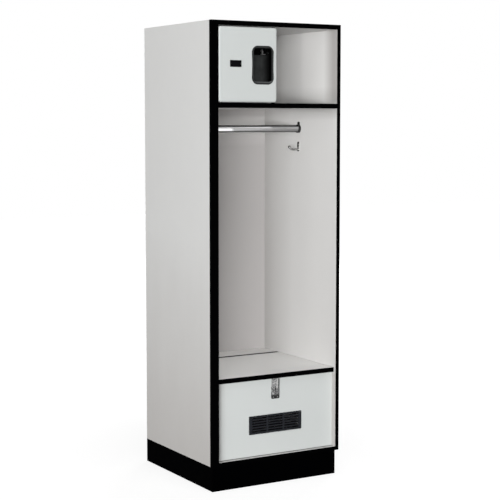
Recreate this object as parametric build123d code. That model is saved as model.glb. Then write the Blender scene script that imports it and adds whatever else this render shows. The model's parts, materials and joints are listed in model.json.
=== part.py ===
from build123d import *

import os

# Overall sizes of the locker, in millimetres.
# X runs to the right, Y to the back and Z up, from the middle of the footprint on the floor.
carcass_width = 609.6
carcass_depth = 609.6
carcass_height = 1828.8
base_height = 101.6

# Boards
end_panel_thickness = 16.0
side_thickness = 16.0
bottom_thickness = 16.0
top_thickness = 20.0
shelf_thickness = 20.0
seat_thickness = 20.0
partition_thickness = 16.0
back_thickness = 12.7
foot_panel_thickness = 16.0
base_board_thickness = 18.0
edging_thickness = 2.0
lipping_depth = 19.0

# Heights and depths of the compartments
upper_box_height = 312.2
seat_height = 463.5
foot_panel_recess = 31.2
lid_recess = 13.5
rear_strip_depth = 120.0
base_right_inset = 19.8

# Gaps and clearances
cut_overrun = 1.0
hole_clearance = 0.06
pin_clearance = 0.05
rest_gap = 0.3
lid_side_gap = 2.0

# Dowels
dowel_radius = 4.0
dowel_length = 30.0
dowel_depth_in_side = 11.0
dowel_end_room = 0.5
full_depth_dowel_shares = (0.12, 0.48, 0.84)
strip_dowel_shares = (0.3, 0.75)
foot_panel_dowel_height_shares = (0.22, 0.78)
foot_panel_dowel_width_shares = (0.15, 0.85)
partition_dowel_shares = (0.2, 0.8)

# Screws of the boards
board_screw_radius = 2.2
board_screw_head_radius = 4.2
board_screw_sink = 2.6
end_panel_screw_length = 28.0
end_panel_screw_height_shares = (0.11, 0.36, 0.62, 0.9)
end_panel_screw_depth_shares = (0.15, 0.85)
back_screw_length = 38.0
back_screw_width_shares = (0.12, 0.6, 0.88)
partition_back_screw_shares = (0.25, 0.75)

# Small screws of the fittings
fitting_screw_radius = 1.5
fitting_screw_head_radius = 3.0
fitting_screw_sink = 1.5
fitting_screw_length = 14.0

# Shape of every screw, as shares of its own sizes
screw_tip_share = 0.3
recess_length_share = 1.1
recess_width_share = 0.26
recess_depth_share = 0.4
pan_edge_share = 0.45

# Base
corner_block_side = 40.0
corner_block_height = 60.0
base_screw_length = 70.0
block_screw_length = 50.0
block_screw_low_share = 0.3
block_screw_high_share = 0.7

# Battens that carry the lid at the side panels
batten_width = 19.0
batten_height = 20.0
batten_screw_length = 29.0
batten_screw_shares = (0.12, 0.5, 0.88)

# Coat rod and its sockets
rod_radius = 15.0
rod_wall = 1.5
rod_below_shelf = 86.5
rod_from_front = 302.8
socket_ring_radius = 17.9
socket_bore_clearance = 0.15
socket_floor = 2.5
socket_depth = 10.0
socket_ear_width = 15.0
socket_ear_top = 30.8
socket_ear_thickness = 3.5
socket_ear_screw_height = 24.6

# Coat hook
hook_from_front = 304.8
hook_plate_width = 16.0
hook_plate_thickness = 3.0
hook_below_rod = 92.7
hook_plate_above_arm = 35.0
hook_plate_below_arm = 8.0
hook_arm_radius = 4.3
hook_arm_run = 24.0
hook_bend_radius = 24.0
hook_bend_angle = 60.0
hook_ball_radius = 6.6
hook_upper_screw_drop = 6.0
hook_lower_screw_drop = 18.0
hook_screw_radius = 1.6
hook_screw_head_radius = 4.0
hook_screw_head_height = 2.4

# Vent in the front panel of the foot locker
vent_from_left = 290.0
vent_below_staple = 64.55
vent_width = 259.0
vent_tall = 78.5
vent_corner_radius = 3.0
vent_flange = 3.0
vent_field_recess = 1.0
vent_field_margin = 1.5
vent_body_depth = 7.0
vent_body_wall = 2.8
vent_body_gap = 0.5
vent_columns = 3
vent_rows = 6
slot_width = 71.0
slot_spacing = 8.7
slot_tall = 6.0
slot_pitch = 11.2
slot_rise = 3.0
vent_screw_inset_x = 5.0
vent_screw_inset_z = 8.0
vent_screw_radius = 1.4
vent_screw_head_radius = 2.7
vent_screw_sink = 1.6
vent_screw_length = 16.0

# Continuous hinge of the lid
lid_hinge_gap = 5.0
lid_hinge_end_margin = 8.0
lid_leaf_thickness = 1.2
lid_leaf_height = 19.0
lid_knuckle_radius = 2.1
lid_pin_radius = 1.1
lid_knuckle_count = 20
knuckle_end_gap = 0.3
lid_hinge_screw_radius = 1.2
lid_hinge_screw_head_radius = 2.2
lid_hinge_screw_sink = 1.1
lid_hinge_screw_length = 13.0
lid_hinge_screw_drop = 11.0
lid_hinge_screw_shares = (0.04, 0.27, 0.5, 0.73, 0.96)

# Hasp of the foot locker
hasp_from_left = 290.0
hasp_width = 40.0
hasp_plate_thickness = 1.6
hasp_knuckle_radius = 3.0
hasp_pin_radius = 1.5
hasp_knuckle_drop = 0.4
hasp_knuckle_stand_off = 0.5
hasp_middle_knuckle = 19.0
hasp_leaf_depth = 11.7
hasp_strap_width = 38.0
hasp_strap_length = 76.0
hasp_corner_radius = 5.0
hasp_screw_offset = 10.5
hasp_leaf_screw_depth = 7.0
staple_plate_below_hole = 36.0
staple_plate_tall = 54.0
staple_screw_inset = 6.5
staple_below_hasp = 51.1
staple_tab_thickness = 3.0
staple_tab_tall = 22.0
staple_tab_reach = 15.8
staple_tab_radius = 6.0
staple_hole_radius = 4.5
staple_hole_inset = 7.5
strap_slot_width = 6.0
strap_slot_tall = 28.0

# Door of the security box
door_gap = 3.0
door_width = 276.3
door_thickness = 18.0
door_set_back = 2.0
door_corner_radius = 11.0
door_front_rounding = 8.0
door_back_rounding = 2.5
door_rear_gap = 1.0

# Pivots of the door
pivot_from_edge = 14.0
pivot_from_front = 11.0
pivot_pin_radius = 3.0
pivot_pin_embed = 12.0
pivot_pin_reach = 11.0
bushing_radius = 4.5
bushing_flange_radius = 5.5
bushing_length = 14.0

# Recessed handle pocket
pocket_centre_from_door_left = 206.8
pocket_centre_above_shelf = 155.1
bezel_width = 104.6
bezel_tall = 157.7
bezel_corner_radius = 28.0
bezel_waist = 1.6
bezel_thickness = 2.0
bezel_taper = 25.0
mouth_bevel = 2.2
pocket_width = 85.0
pocket_tall = 136.0
pocket_corner_radius = 12.0
pocket_wall = 2.0
pocket_depth = 20.0
pocket_hole_gap = 0.4
snap_width = 12.0
snap_reach = 1.2
snap_thickness = 3.0
snap_spread_share = 0.5

# Latch: a case behind the pocket with a fixed padlock eye, and a lever that lifts beside it
case_width = 66.0
case_depth = 16.0
case_sheet = 1.5
case_ear = 9.0
case_window_inset = 3.0
latch_travel = 8.0
latch_top_room = 1.3
lever_tall = 15.0
lever_plate_width = 40.0
lever_sheet = 2.0
lever_from_pocket_back = 9.8
lever_eye_reach = 17.2
lever_eye_offset = 2.0
eye_hole_radius = 4.4
eye_hole_reach = 10.0
eye_gap = 1.0
fixed_eye_tall = 22.0
fixed_eye_gap = 2.0
finger_lip_width = 13.0
finger_lip_depth = 13.0
lever_arm_tall = 11.0
lever_tip_gap = 2.4
lever_slot_room = 1.0
case_screw_radius = 1.3
case_screw_head_radius = 2.4
case_screw_head_height = 1.5

# Keeper on the partition
keeper_sheet = 2.0
keeper_tall = 36.0
keeper_depth = 29.0
keeper_tab_reach = 12.0
keeper_tab_tall = 17.0
keeper_gap = 0.8
keeper_overlap = 6.0
keeper_screw_from_back = 12.0
keeper_screw_shares = (0.25, 0.78)

# Number plate on the door
plate_from_door_left = 78.4
plate_above_shelf = 159.3
plate_width = 53.0
plate_tall = 27.5
plate_thickness = 1.2
plate_corner_radius = 2.5
plate_rivet_offset = 21.5
plate_rivet_radius = 1.3
plate_rivet_head_radius = 2.0
plate_rivet_head_height = 0.6
plate_rivet_length = 6.0
digit_tall = 13.0
digit_stroke = 1.6
digit_spacing = 6.5
digit_depth = 0.4

# Main planes of the carcass
left_outer = -(carcass_width + end_panel_thickness) / 2
right_outer = (carcass_width + end_panel_thickness) / 2
front = -carcass_depth / 2
back = carcass_depth / 2
board_front = front + edging_thickness
left_side_outer = left_outer + end_panel_thickness
clear_left = left_side_outer + side_thickness
clear_right = right_outer - side_thickness
clear_width = clear_right - clear_left
back_face = back - back_thickness
carcass_top = base_height + carcass_height
top_underside = carcass_top - top_thickness
shelf_top = top_underside - upper_box_height
shelf_underside = shelf_top - shelf_thickness
floor_top = base_height + bottom_thickness
seat_underside = seat_height - seat_thickness
foot_panel_front = front + foot_panel_recess
foot_panel_back = foot_panel_front + foot_panel_thickness
foot_panel_top = seat_underside - rest_gap
lid_front = front + lid_recess
strip_front = back_face - rear_strip_depth
lid_back = strip_front - lid_hinge_gap
lid_left = clear_left + lid_side_gap
lid_right = clear_right - lid_side_gap
base_right = right_outer - base_right_inset

# Main planes of the door and its latch
door_left = clear_left + door_gap
door_right = door_left + door_width
door_bottom = shelf_top + door_gap
door_top = top_underside - door_gap
door_front = front + door_set_back
door_back = door_front + door_thickness
pivot_x = door_left + pivot_from_edge
pivot_y = door_front + pivot_from_front
partition_right = door_right
partition_left = partition_right - partition_thickness
partition_front = door_back + door_rear_gap
pocket_x = door_left + pocket_centre_from_door_left
pocket_centre_height = shelf_top + pocket_centre_above_shelf
plate_height = shelf_top + plate_above_shelf
pocket_back = door_front + pocket_depth + pocket_wall
pocket_top = pocket_centre_height + pocket_tall / 2
lever_top = pocket_top - latch_top_room - latch_travel
lever_bottom = lever_top - lever_tall
lever_front = pocket_back + lever_from_pocket_back
case_floor = lever_bottom - rest_gap
keeper_face = partition_left - keeper_sheet
arm_bottom = lever_top - lever_arm_tall

# Lid hinge and hasp axes
lid_axis_y = (lid_back + strip_front) / 2
lid_axis_z = seat_height
hasp_x = clear_left + hasp_from_left
hasp_axis_y = foot_panel_front - hasp_knuckle_stand_off - hasp_knuckle_radius
hasp_axis_z = seat_underside - hasp_knuckle_drop - hasp_knuckle_radius
staple_plate_front = foot_panel_front - hasp_plate_thickness
strap_back = staple_plate_front - rest_gap
strap_front = strap_back - hasp_plate_thickness
staple_height = hasp_axis_z - staple_below_hasp
staple_plate_bottom = staple_height - staple_plate_below_hole
vent_x = clear_left + vent_from_left
vent_height = staple_plate_bottom - vent_below_staple - vent_tall / 2

# Places of the rod and the hook
rod_y = front + rod_from_front
rod_height = shelf_underside - rod_below_shelf
hook_y = front + hook_from_front
hook_arm_height = rod_height - hook_below_rod
hook_plate_top = hook_arm_height + hook_plate_above_arm
hook_plate_bottom = hook_arm_height - hook_plate_below_arm

# Directions
rightward = (1, 0, 0)
leftward = (-1, 0, 0)
backward = (0, 1, 0)
forward = (0, -1, 0)
upward = (0, 0, 1)
downward = (0, 0, -1)

# Screw families: shank radius, head radius, height of the head
board_screw = (board_screw_radius, board_screw_head_radius, board_screw_sink)
fitting_screw = (fitting_screw_radius, fitting_screw_head_radius, fitting_screw_sink)
vent_screw = (vent_screw_radius, vent_screw_head_radius, vent_screw_sink)
hinge_screw = (lid_hinge_screw_radius, lid_hinge_screw_head_radius, lid_hinge_screw_sink)
hook_screw = (hook_screw_radius, hook_screw_head_radius, hook_screw_head_height)
case_screw = (case_screw_radius, case_screw_head_radius, case_screw_head_height)
plate_rivet = (plate_rivet_radius, plate_rivet_head_radius, plate_rivet_head_height)

# Ways to line up a primitive
low_corner = (Align.MIN, Align.MIN, Align.MIN)
from_below = (Align.CENTER, Align.CENTER, Align.MIN)
from_above = (Align.CENTER, Align.CENTER, Align.MAX)


# Helpers


def block(x0, x1, y0, y1, z0, z1):
    """A box between two opposite corners."""
    return Pos(x0, y0, z0) * Box(x1 - x0, y1 - y0, z1 - z0, align=low_corner)


def between(low, high, share):
    """The place at a share of the way from low to high."""
    return low + share * (high - low)


def cylinder_along(point, direction, radius, length):
    """A cylinder that starts at a point and runs along a direction."""
    return Plane(origin=point, z_dir=direction) * Cylinder(radius, length, align=from_below)


def front_plane(x, y, z):
    """A plane that faces the front: its own X is to the right and its own Y is up."""
    return Plane(origin=(x, y, z), x_dir=rightward, z_dir=forward)


def wall_plane(x, y, z, inward):
    """A plane on a side wall that faces inward (1 or -1 along X), with its own Y up."""
    return Plane(origin=(x, y, z), x_dir=(0, inward, 0), z_dir=(inward, 0, 0))


def cross_recess(head_radius):
    """The cross-shaped driver recess in the top of a screw head at the origin."""
    length = recess_length_share * head_radius
    width = recess_width_share * head_radius
    depth = recess_depth_share * head_radius
    return [Box(length, width, 2 * depth), Box(width, length, 2 * depth)]


def screw_shank(radius, top, length):
    """A shank with a blunt point, from a height down to its length below zero."""
    tip = 2 * radius
    straight = Pos(0, 0, top) * Cylinder(radius, length + top - tip, align=from_above)
    point = Pos(0, 0, tip - length) * Cone(screw_tip_share * radius, radius, tip, align=from_above)
    return straight + point


def sunk_screw(point, outward, family, length):
    """A countersunk screw with its head flush at a point."""
    radius, head_radius, sink = family
    head = Cone(radius, head_radius, sink, align=from_above)
    screw = head + screw_shank(radius, -sink, length) - cross_recess(head_radius)
    return Plane(origin=point, z_dir=outward) * screw


def sunk_hole(point, outward, family, length):
    """The cut for a countersunk screw, with its clearance."""
    radius, head_radius, sink = family
    wide = head_radius + hole_clearance
    narrow = radius + hole_clearance
    cone = Cone(narrow, wide, sink, align=from_above)
    shank = Cylinder(narrow, length + hole_clearance, align=from_above)
    mouth = Cylinder(wide, hole_clearance, align=from_below)
    return Plane(origin=point, z_dir=outward) * (cone + shank + mouth)


def pan_screw(point, outward, family, length, recessed):
    """A screw or rivet with a rounded head that stands on the surface at a point."""
    radius, head_radius, head_height = family
    head = Cylinder(head_radius, head_height, align=from_below)
    head = fillet(head.edges().sort_by(Axis.Z)[-1], pan_edge_share * head_height)
    shank = Cylinder(radius, length, align=from_above)
    part = head + shank
    if recessed:
        part = part - [Pos(0, 0, head_height) * cut for cut in cross_recess(head_radius)]
    return Plane(origin=point, z_dir=outward) * part


def plain_hole(point, outward, radius, length):
    """The cut for a plain shank, open at its mouth."""
    start = Vector(point) + Vector(outward) * cut_overrun
    inward = Vector(outward) * -1
    return cylinder_along(start, inward, radius + hole_clearance, length + cut_overrun)


def dowel(place):
    """A dowel across a joint face, with its shallow end in the board it points into."""
    point, direction = place
    start = Vector(point) - Vector(direction) * (dowel_length - dowel_depth_in_side)
    return cylinder_along(start, direction, dowel_radius, dowel_length)


def dowel_hole(place):
    """The cut for a dowel, with room at both ends."""
    point, direction = place
    back_off = dowel_length - dowel_depth_in_side + dowel_end_room
    start = Vector(point) - Vector(direction) * back_off
    return cylinder_along(start, direction, dowel_radius + hole_clearance, dowel_length + 2 * dowel_end_room)


def save(name, *pieces):
    """Write one node, as its separate solids."""
    solids = [solid for piece in pieces for solid in piece.solids()]
    shape = solids[0] if len(solids) == 1 else Compound(children=solids)
    export_step(shape, f"parts/{name}.step")


# Places of the dowels and screws that join the boards

left_wall = (clear_left, leftward)
right_wall = (clear_right, rightward)
top_middle = carcass_top - top_thickness / 2
shelf_middle = shelf_top - shelf_thickness / 2
bottom_middle = base_height + bottom_thickness / 2
seat_middle = seat_height - seat_thickness / 2


def board_places(wall, height):
    """Dowels where a full-depth board meets a side wall."""
    x, direction = wall
    return [((x, between(front, back, share), height), direction) for share in full_depth_dowel_shares]


def strip_places(wall):
    """Dowels where the rear strip of the seat meets a side wall."""
    x, direction = wall
    return [((x, between(strip_front, back_face, share), seat_middle), direction)
            for share in strip_dowel_shares]


def foot_panel_places(wall):
    """Dowels where the front panel of the foot locker meets a side wall."""
    x, direction = wall
    y = (foot_panel_front + foot_panel_back) / 2
    return [((x, y, between(floor_top, foot_panel_top, share)), direction)
            for share in foot_panel_dowel_height_shares]


def foot_panel_floor_places():
    """Dowels from the front panel of the foot locker into the bottom panel."""
    y = (foot_panel_front + foot_panel_back) / 2
    return [((between(clear_left, clear_right, share), y, floor_top), downward)
            for share in foot_panel_dowel_width_shares]


def partition_places(height, direction):
    """Dowels from the partition into the shelf or the top panel."""
    x = (partition_left + partition_right) / 2
    return [((x, between(partition_front, back_face, share), height), direction)
            for share in partition_dowel_shares]


def side_places(wall):
    """Every dowel that enters one side panel."""
    boards = [board_places(wall, height) for height in (top_middle, shelf_middle, bottom_middle)]
    return sum(boards, []) + strip_places(wall) + foot_panel_places(wall)


def board_end_places(height):
    """The dowels at both ends of a full-depth board."""
    return board_places(left_wall, height) + board_places(right_wall, height)


def end_panel_screw_points():
    """Screws from inside the left side panel into the end panel."""
    return [(clear_left, between(front, back, deep), between(base_height, carcass_top, high))
            for high in end_panel_screw_height_shares
            for deep in end_panel_screw_depth_shares]


def back_screw_points(height):
    """Screws through the back panel into the rear edge of one board."""
    return [(between(clear_left, clear_right, share), back, height) for share in back_screw_width_shares]


def partition_back_screw_points():
    """Screws through the back panel into the rear edge of the partition."""
    x = (partition_left + partition_right) / 2
    return [(x, back, between(shelf_top, top_underside, share)) for share in partition_back_screw_shares]


def all_back_screw_points():
    """Every screw of the back panel."""
    heights = (top_middle, shelf_middle, seat_middle, bottom_middle)
    return sum([back_screw_points(height) for height in heights], []) + partition_back_screw_points()


def back_holes(points):
    """The cuts for screws of the back panel."""
    return [sunk_hole(point, backward, board_screw, back_screw_length) for point in points]


def dowel_holes(places):
    """The cuts for a list of dowels."""
    return [dowel_hole(place) for place in places]


# Side panels and end panel


def end_panel_holes():
    """The cuts for the screws that hold the end panel."""
    return [sunk_hole(point, rightward, board_screw, end_panel_screw_length)
            for point in end_panel_screw_points()]


def left_end_panel():
    """Finished panel on the exposed left side, behind its lipping."""
    board = block(left_outer, left_side_outer, front + lipping_depth, back, base_height, carcass_top)
    return board - end_panel_holes()


def end_panel_lipping():
    """Solid black lipping on the front edge of the end panel."""
    return block(left_outer, left_side_outer, front, front + lipping_depth, base_height, carcass_top)


def socket_screw_points(wall_x, inward):
    """Two screws of a rod socket: one in its ear and one in its floor."""
    ear = (wall_x + inward * socket_ear_thickness, rod_y, rod_height + socket_ear_screw_height)
    floor = (wall_x + inward * socket_floor, rod_y, rod_height)
    return [ear, floor]


def socket_holes(wall_x, inward):
    """The cuts for the screws of a rod socket."""
    return [sunk_hole(point, (inward, 0, 0), fitting_screw, fitting_screw_length)
            for point in socket_screw_points(wall_x, inward)]


def hook_screw_points():
    """Two screws of the coat hook, above its arm."""
    x = clear_right - hook_plate_thickness
    drops = (hook_upper_screw_drop, hook_lower_screw_drop)
    return [(x, hook_y, hook_plate_top - drop) for drop in drops]


def hook_holes():
    """The cuts for the screws of the coat hook."""
    length = fitting_screw_length
    return [plain_hole(point, leftward, hook_screw_radius, length) for point in hook_screw_points()]


def batten_screw_points(side):
    """Screws of one lid batten; side is 1 on the left wall and -1 on the right wall."""
    wall = clear_left if side > 0 else clear_right
    y0 = foot_panel_back
    y1 = strip_front
    z = foot_panel_top - batten_height / 2
    return [(wall + side * batten_width, between(y0, y1, share), z) for share in batten_screw_shares]


def batten_holes(side):
    """The cuts for the screws of one lid batten."""
    return [sunk_hole(point, (side, 0, 0), board_screw, batten_screw_length)
            for point in batten_screw_points(side)]


def left_side_panel():
    """Left side of the carcass, inside the end panel."""
    board = block(left_side_outer, clear_left, board_front, back, base_height, carcass_top)
    cuts = dowel_holes(side_places(left_wall)) + end_panel_holes()
    return board - (cuts + socket_holes(clear_left, 1) + batten_holes(1))


def right_side_panel():
    """Right side of the carcass."""
    board = block(clear_right, right_outer, board_front, back, base_height, carcass_top)
    cuts = dowel_holes(side_places(right_wall)) + hook_holes()
    return board - (cuts + socket_holes(clear_right, -1) + batten_holes(-1))


def side_edging(x0, x1):
    """Black edging strip on the front edge of a side panel."""
    return block(x0, x1, front, board_front, base_height, carcass_top)


# Top, shelf, bottom, partition and back


def cross_board(z0, z1):
    """A board between the side panels, as deep as the carcass allows."""
    return block(clear_left, clear_right, board_front, back_face, z0, z1)


def cross_edging(z0, z1):
    """Black edging strip on the front edge of such a board."""
    return block(clear_left, clear_right, front, board_front, z0, z1)


def pivot_pin_hole(height, direction):
    """The cut in the top panel or the shelf for a pivot pin of the door."""
    return plain_hole((pivot_x, pivot_y, height), direction, pivot_pin_radius, pivot_pin_embed)


def top_panel():
    """Top panel, with the upper pivot pin's hole."""
    cuts = dowel_holes(board_end_places(top_middle) + partition_places(top_underside, upward))
    cuts = cuts + back_holes(back_screw_points(top_middle))
    return cross_board(top_underside, carcass_top) - (cuts + [pivot_pin_hole(top_underside, downward)])


def shelf_panel():
    """Shelf under the security box, with the lower pivot pin's hole."""
    cuts = dowel_holes(board_end_places(shelf_middle) + partition_places(shelf_top, downward))
    cuts = cuts + back_holes(back_screw_points(shelf_middle))
    return cross_board(shelf_underside, shelf_top) - (cuts + [pivot_pin_hole(shelf_top, upward)])


def base_screw_points():
    """Screws that rise through the corner blocks into the bottom panel."""
    z = base_height - corner_block_height
    return [(x, y, z) for x, y in corner_block_centres()]


def bottom_panel():
    """Bottom panel, which is the floor of the foot locker."""
    cuts = dowel_holes(board_end_places(bottom_middle) + foot_panel_floor_places())
    cuts = cuts + back_holes(back_screw_points(bottom_middle))
    rising = [sunk_hole(point, downward, board_screw, base_screw_length) for point in base_screw_points()]
    return cross_board(base_height, floor_top) - (cuts + rising)


def keeper_screw_points():
    """Screws of the latch keeper, in the left face of the partition."""
    y = keeper_back() - keeper_screw_from_back
    return [(keeper_face, y, between(keeper_bottom(), keeper_bottom() + keeper_tall, share))
            for share in keeper_screw_shares]


def keeper_holes():
    """The cuts for the screws of the keeper."""
    length = fitting_screw_length
    return [sunk_hole(point, leftward, fitting_screw, length) for point in keeper_screw_points()]


def box_partition():
    """Partition between the security box and the open cubby."""
    y0 = partition_front + edging_thickness
    board = block(partition_left, partition_right, y0, back_face, shelf_top, top_underside)
    places = partition_places(shelf_top, downward) + partition_places(top_underside, upward)
    return board - (dowel_holes(places) + back_holes(partition_back_screw_points()) + keeper_holes())


def partition_edging():
    """Black edging strip on the front edge of the partition."""
    y1 = partition_front + edging_thickness
    return block(partition_left, partition_right, partition_front, y1, shelf_top, top_underside)


def back_panel():
    """Back panel between the side panels, over the whole height."""
    board = block(clear_left, clear_right, back_face, back, base_height, carcass_top)
    return board - back_holes(all_back_screw_points())


def carcass_dowels():
    """Every dowel of the carcass."""
    places = side_places(left_wall) + side_places(right_wall) + foot_panel_floor_places()
    places = places + partition_places(shelf_top, downward) + partition_places(top_underside, upward)
    return [dowel(place) for place in places]


# Base


def corner_block_centres():
    """Centres of the four blocks inside the corners of the base."""
    half = corner_block_side / 2
    xs = (left_outer + base_board_thickness + half, base_right - base_board_thickness - half)
    ys = (front + base_board_thickness + half, back - base_board_thickness - half)
    return [(x, y) for x in xs for y in ys]


def block_screws():
    """Screws from each corner block into its two base boards, as points with directions."""
    places = []
    half = corner_block_side / 2
    z0 = base_height - corner_block_height
    for x, y in corner_block_centres():
        side_x = 1 if x > 0 else -1
        side_y = 1 if y > 0 else -1
        low = between(z0, base_height, block_screw_low_share)
        high = between(z0, base_height, block_screw_high_share)
        offset = half / 2
        places.append(((x - side_x * half, y - side_y * offset, low), (-side_x, 0, 0)))
        places.append(((x - side_x * offset, y - side_y * half, high), (0, -side_y, 0)))
    return places


def block_screw_holes():
    """The cuts for the screws of the corner blocks."""
    return [sunk_hole(point, outward, board_screw, block_screw_length) for point, outward in block_screws()]


def base_front_board():
    """Black front board of the base, flush with the front of the carcass."""
    board = block(left_outer, base_right, front, front + base_board_thickness, 0, base_height)
    return board - block_screw_holes()


def base_back_board():
    """Back board of the base."""
    board = block(left_outer, base_right, back - base_board_thickness, back, 0, base_height)
    return board - block_screw_holes()


def base_side_board(x0):
    """A side board of the base, between the front and back boards."""
    y0 = front + base_board_thickness
    y1 = back - base_board_thickness
    return block(x0, x0 + base_board_thickness, y0, y1, 0, base_height) - block_screw_holes()


def base_corner_blocks():
    """Four blocks that join the base boards and carry the carcass."""
    half = corner_block_side / 2
    z0 = base_height - corner_block_height
    rising = [sunk_hole(point, downward, board_screw, base_screw_length) for point in base_screw_points()]
    cuts = block_screw_holes() + rising
    return [block(x - half, x + half, y - half, y + half, z0, base_height) - cuts
            for x, y in corner_block_centres()]


def base_screws():
    """All screws of the base."""
    rising = [sunk_screw(point, downward, board_screw, base_screw_length) for point in base_screw_points()]
    level = [sunk_screw(point, outward, board_screw, block_screw_length)
             for point, outward in block_screws()]
    return rising + level


# Coat rod and hook


def coat_rod():
    """Chrome tube between the two sockets."""
    x0 = clear_left + socket_floor + rest_gap
    length = clear_width - 2 * (socket_floor + rest_gap)
    tube = cylinder_along((x0, rod_y, rod_height), rightward, rod_radius, length)
    bore = cylinder_along((x0, rod_y, rod_height), rightward, rod_radius - rod_wall, length)
    return tube - bore


def rod_socket(wall_x, inward):
    """A flanged socket with an ear above it, on one side wall."""
    plane = wall_plane(wall_x, rod_y, rod_height, inward)
    cup = plane * extrude(Circle(socket_ring_radius), socket_depth)
    bore = rod_radius + socket_bore_clearance
    hollow = Pos(inward * socket_floor, 0, 0) * (plane * extrude(Circle(bore), socket_depth))
    round_centre = socket_ear_top - socket_ear_width / 2
    straight = Pos(0, round_centre / 2) * Rectangle(socket_ear_width, round_centre)
    end = Pos(0, round_centre) * Circle(socket_ear_width / 2)
    ear = plane * extrude(straight + end, socket_ear_thickness)
    return cup + ear - hollow - socket_holes(wall_x, inward)


def socket_screws():
    """The four screws of the two rod sockets."""
    left = [sunk_screw(point, rightward, fitting_screw, fitting_screw_length)
            for point in socket_screw_points(clear_left, 1)]
    right = [sunk_screw(point, leftward, fitting_screw, fitting_screw_length)
             for point in socket_screw_points(clear_right, -1)]
    return left + right


def hook_arm():
    """Curved arm of the hook, from its plate to the ball at its tip."""
    x0 = clear_right - hook_plate_thickness
    bend_x = x0 - hook_arm_run
    run = Line((x0, hook_y, hook_arm_height), (bend_x, hook_y, hook_arm_height))
    centre = Plane(origin=(bend_x, hook_y, hook_arm_height + hook_bend_radius),
                   x_dir=downward, z_dir=backward)
    bend = centre * CenterArc((0, 0), hook_bend_radius, 0, hook_bend_angle)
    path = Curve() + run + bend
    section = Plane(origin=run @ 0, z_dir=leftward) * Circle(hook_arm_radius)
    arm = sweep(section, path=path)
    return arm + Pos(bend @ 1) * Sphere(hook_ball_radius)


def coat_hook():
    """Wall hook with a rounded plate and a ball-ended arm."""
    middle = (hook_plate_top + hook_plate_bottom) / 2
    plane = wall_plane(clear_right, hook_y, middle, -1)
    tall = hook_plate_top - hook_plate_bottom
    straight = Rectangle(hook_plate_width, tall - hook_plate_width)
    offset = (tall - hook_plate_width) / 2
    ends = [Pos(0, side * offset) * Circle(hook_plate_width / 2) for side in (-1, 1)]
    plate = plane * extrude(straight + ends, hook_plate_thickness)
    return plate + hook_arm() - hook_holes()


def hook_screws():
    """The two screws of the coat hook."""
    length = fitting_screw_length
    return [pan_screw(point, leftward, hook_screw, length, True) for point in hook_screw_points()]


# Foot locker


def vent_body_size():
    """Width and height of the vent's body behind its flange."""
    field_width = vent_columns * slot_width + (vent_columns - 1) * slot_spacing
    field_tall = (vent_rows - 1) * slot_pitch + slot_tall + 2 * slot_rise
    return field_width + 2 * vent_body_wall, field_tall + 2 * vent_body_wall


def vent_screw_points():
    """The four corner screws of the vent."""
    dx = vent_width / 2 - vent_screw_inset_x
    dz = vent_tall / 2 - vent_screw_inset_z
    y = foot_panel_front - vent_flange
    return [(vent_x + sx * dx, y, vent_height + sz * dz) for sx in (-1, 1) for sz in (-1, 1)]


def vent_screw_holes():
    """The cuts for the screws of the vent."""
    length = vent_screw_length
    return [sunk_hole(point, forward, vent_screw, length) for point in vent_screw_points()]


def vent_slot(x, z):
    """One louvre slot, which rises towards the inside."""
    y0 = foot_panel_front - vent_flange
    y1 = foot_panel_front - vent_flange + vent_body_depth
    half = slot_tall / 2
    corners = [(y0, z - half), (y0, z + half), (y1, z + half + slot_rise), (y1, z - half + slot_rise)]
    outline = [Vector(x - slot_width / 2, y, height) for y, height in corners]
    face = Face(Wire.make_polygon(outline, close=True))
    return extrude(face, slot_width, dir=rightward)


def vent_slots():
    """All louvre slots, in columns and rows."""
    column_pitch = slot_width + slot_spacing
    columns = [column_pitch * (i - (vent_columns - 1) / 2) for i in range(vent_columns)]
    rows = [slot_pitch * (i - (vent_rows - 1) / 2) for i in range(vent_rows)]
    return [vent_slot(vent_x + dx, vent_height + dz) for dx in columns for dz in rows]


def vent_grille():
    """Black louvred vent with a flange on the front panel."""
    plane = front_plane(vent_x, foot_panel_front, vent_height)
    flange = extrude(plane * RectangleRounded(vent_width, vent_tall, vent_corner_radius), vent_flange)
    wide, tall = vent_body_size()
    body = extrude(plane * Rectangle(wide, tall), -(vent_body_depth - vent_flange))
    field_plane = front_plane(vent_x, foot_panel_front - vent_flange, vent_height)
    field_wide = wide - 2 * vent_body_wall + 2 * vent_field_margin
    field_tall = tall - 2 * vent_body_wall - 2 * slot_rise + 2 * vent_field_margin
    field = extrude(field_plane * Rectangle(field_wide, field_tall), -vent_field_recess)
    return flange + body - field - vent_slots() - vent_screw_holes()


def vent_screws():
    """The four screws of the vent."""
    length = vent_screw_length
    return [sunk_screw(point, forward, vent_screw, length) for point in vent_screw_points()]


def staple_screw_points():
    """The four screws of the staple plate."""
    z0 = staple_plate_bottom + staple_screw_inset
    z1 = staple_plate_bottom + staple_plate_tall - staple_screw_inset
    offset = hasp_screw_offset
    return [(hasp_x + sx * offset, staple_plate_front, z) for sx in (-1, 1) for z in (z0, z1)]


def staple_holes():
    """The cuts for the screws of the staple plate."""
    length = fitting_screw_length
    return [sunk_hole(point, forward, fitting_screw, length) for point in staple_screw_points()]


def foot_front_panel():
    """Recessed front panel of the foot locker, with a cut-out behind the vent."""
    board = block(clear_left, clear_right, foot_panel_front, foot_panel_back, floor_top, foot_panel_top)
    wide, tall = vent_body_size()
    plane = front_plane(vent_x, foot_panel_front - cut_overrun, vent_height)
    hole = Rectangle(wide + 2 * vent_body_gap, tall + 2 * vent_body_gap)
    cut_out = extrude(plane * hole, -(foot_panel_thickness + 2 * cut_overrun))
    places = foot_panel_places(left_wall) + foot_panel_places(right_wall) + foot_panel_floor_places()
    return board - ([cut_out] + dowel_holes(places) + vent_screw_holes() + staple_holes())


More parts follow.
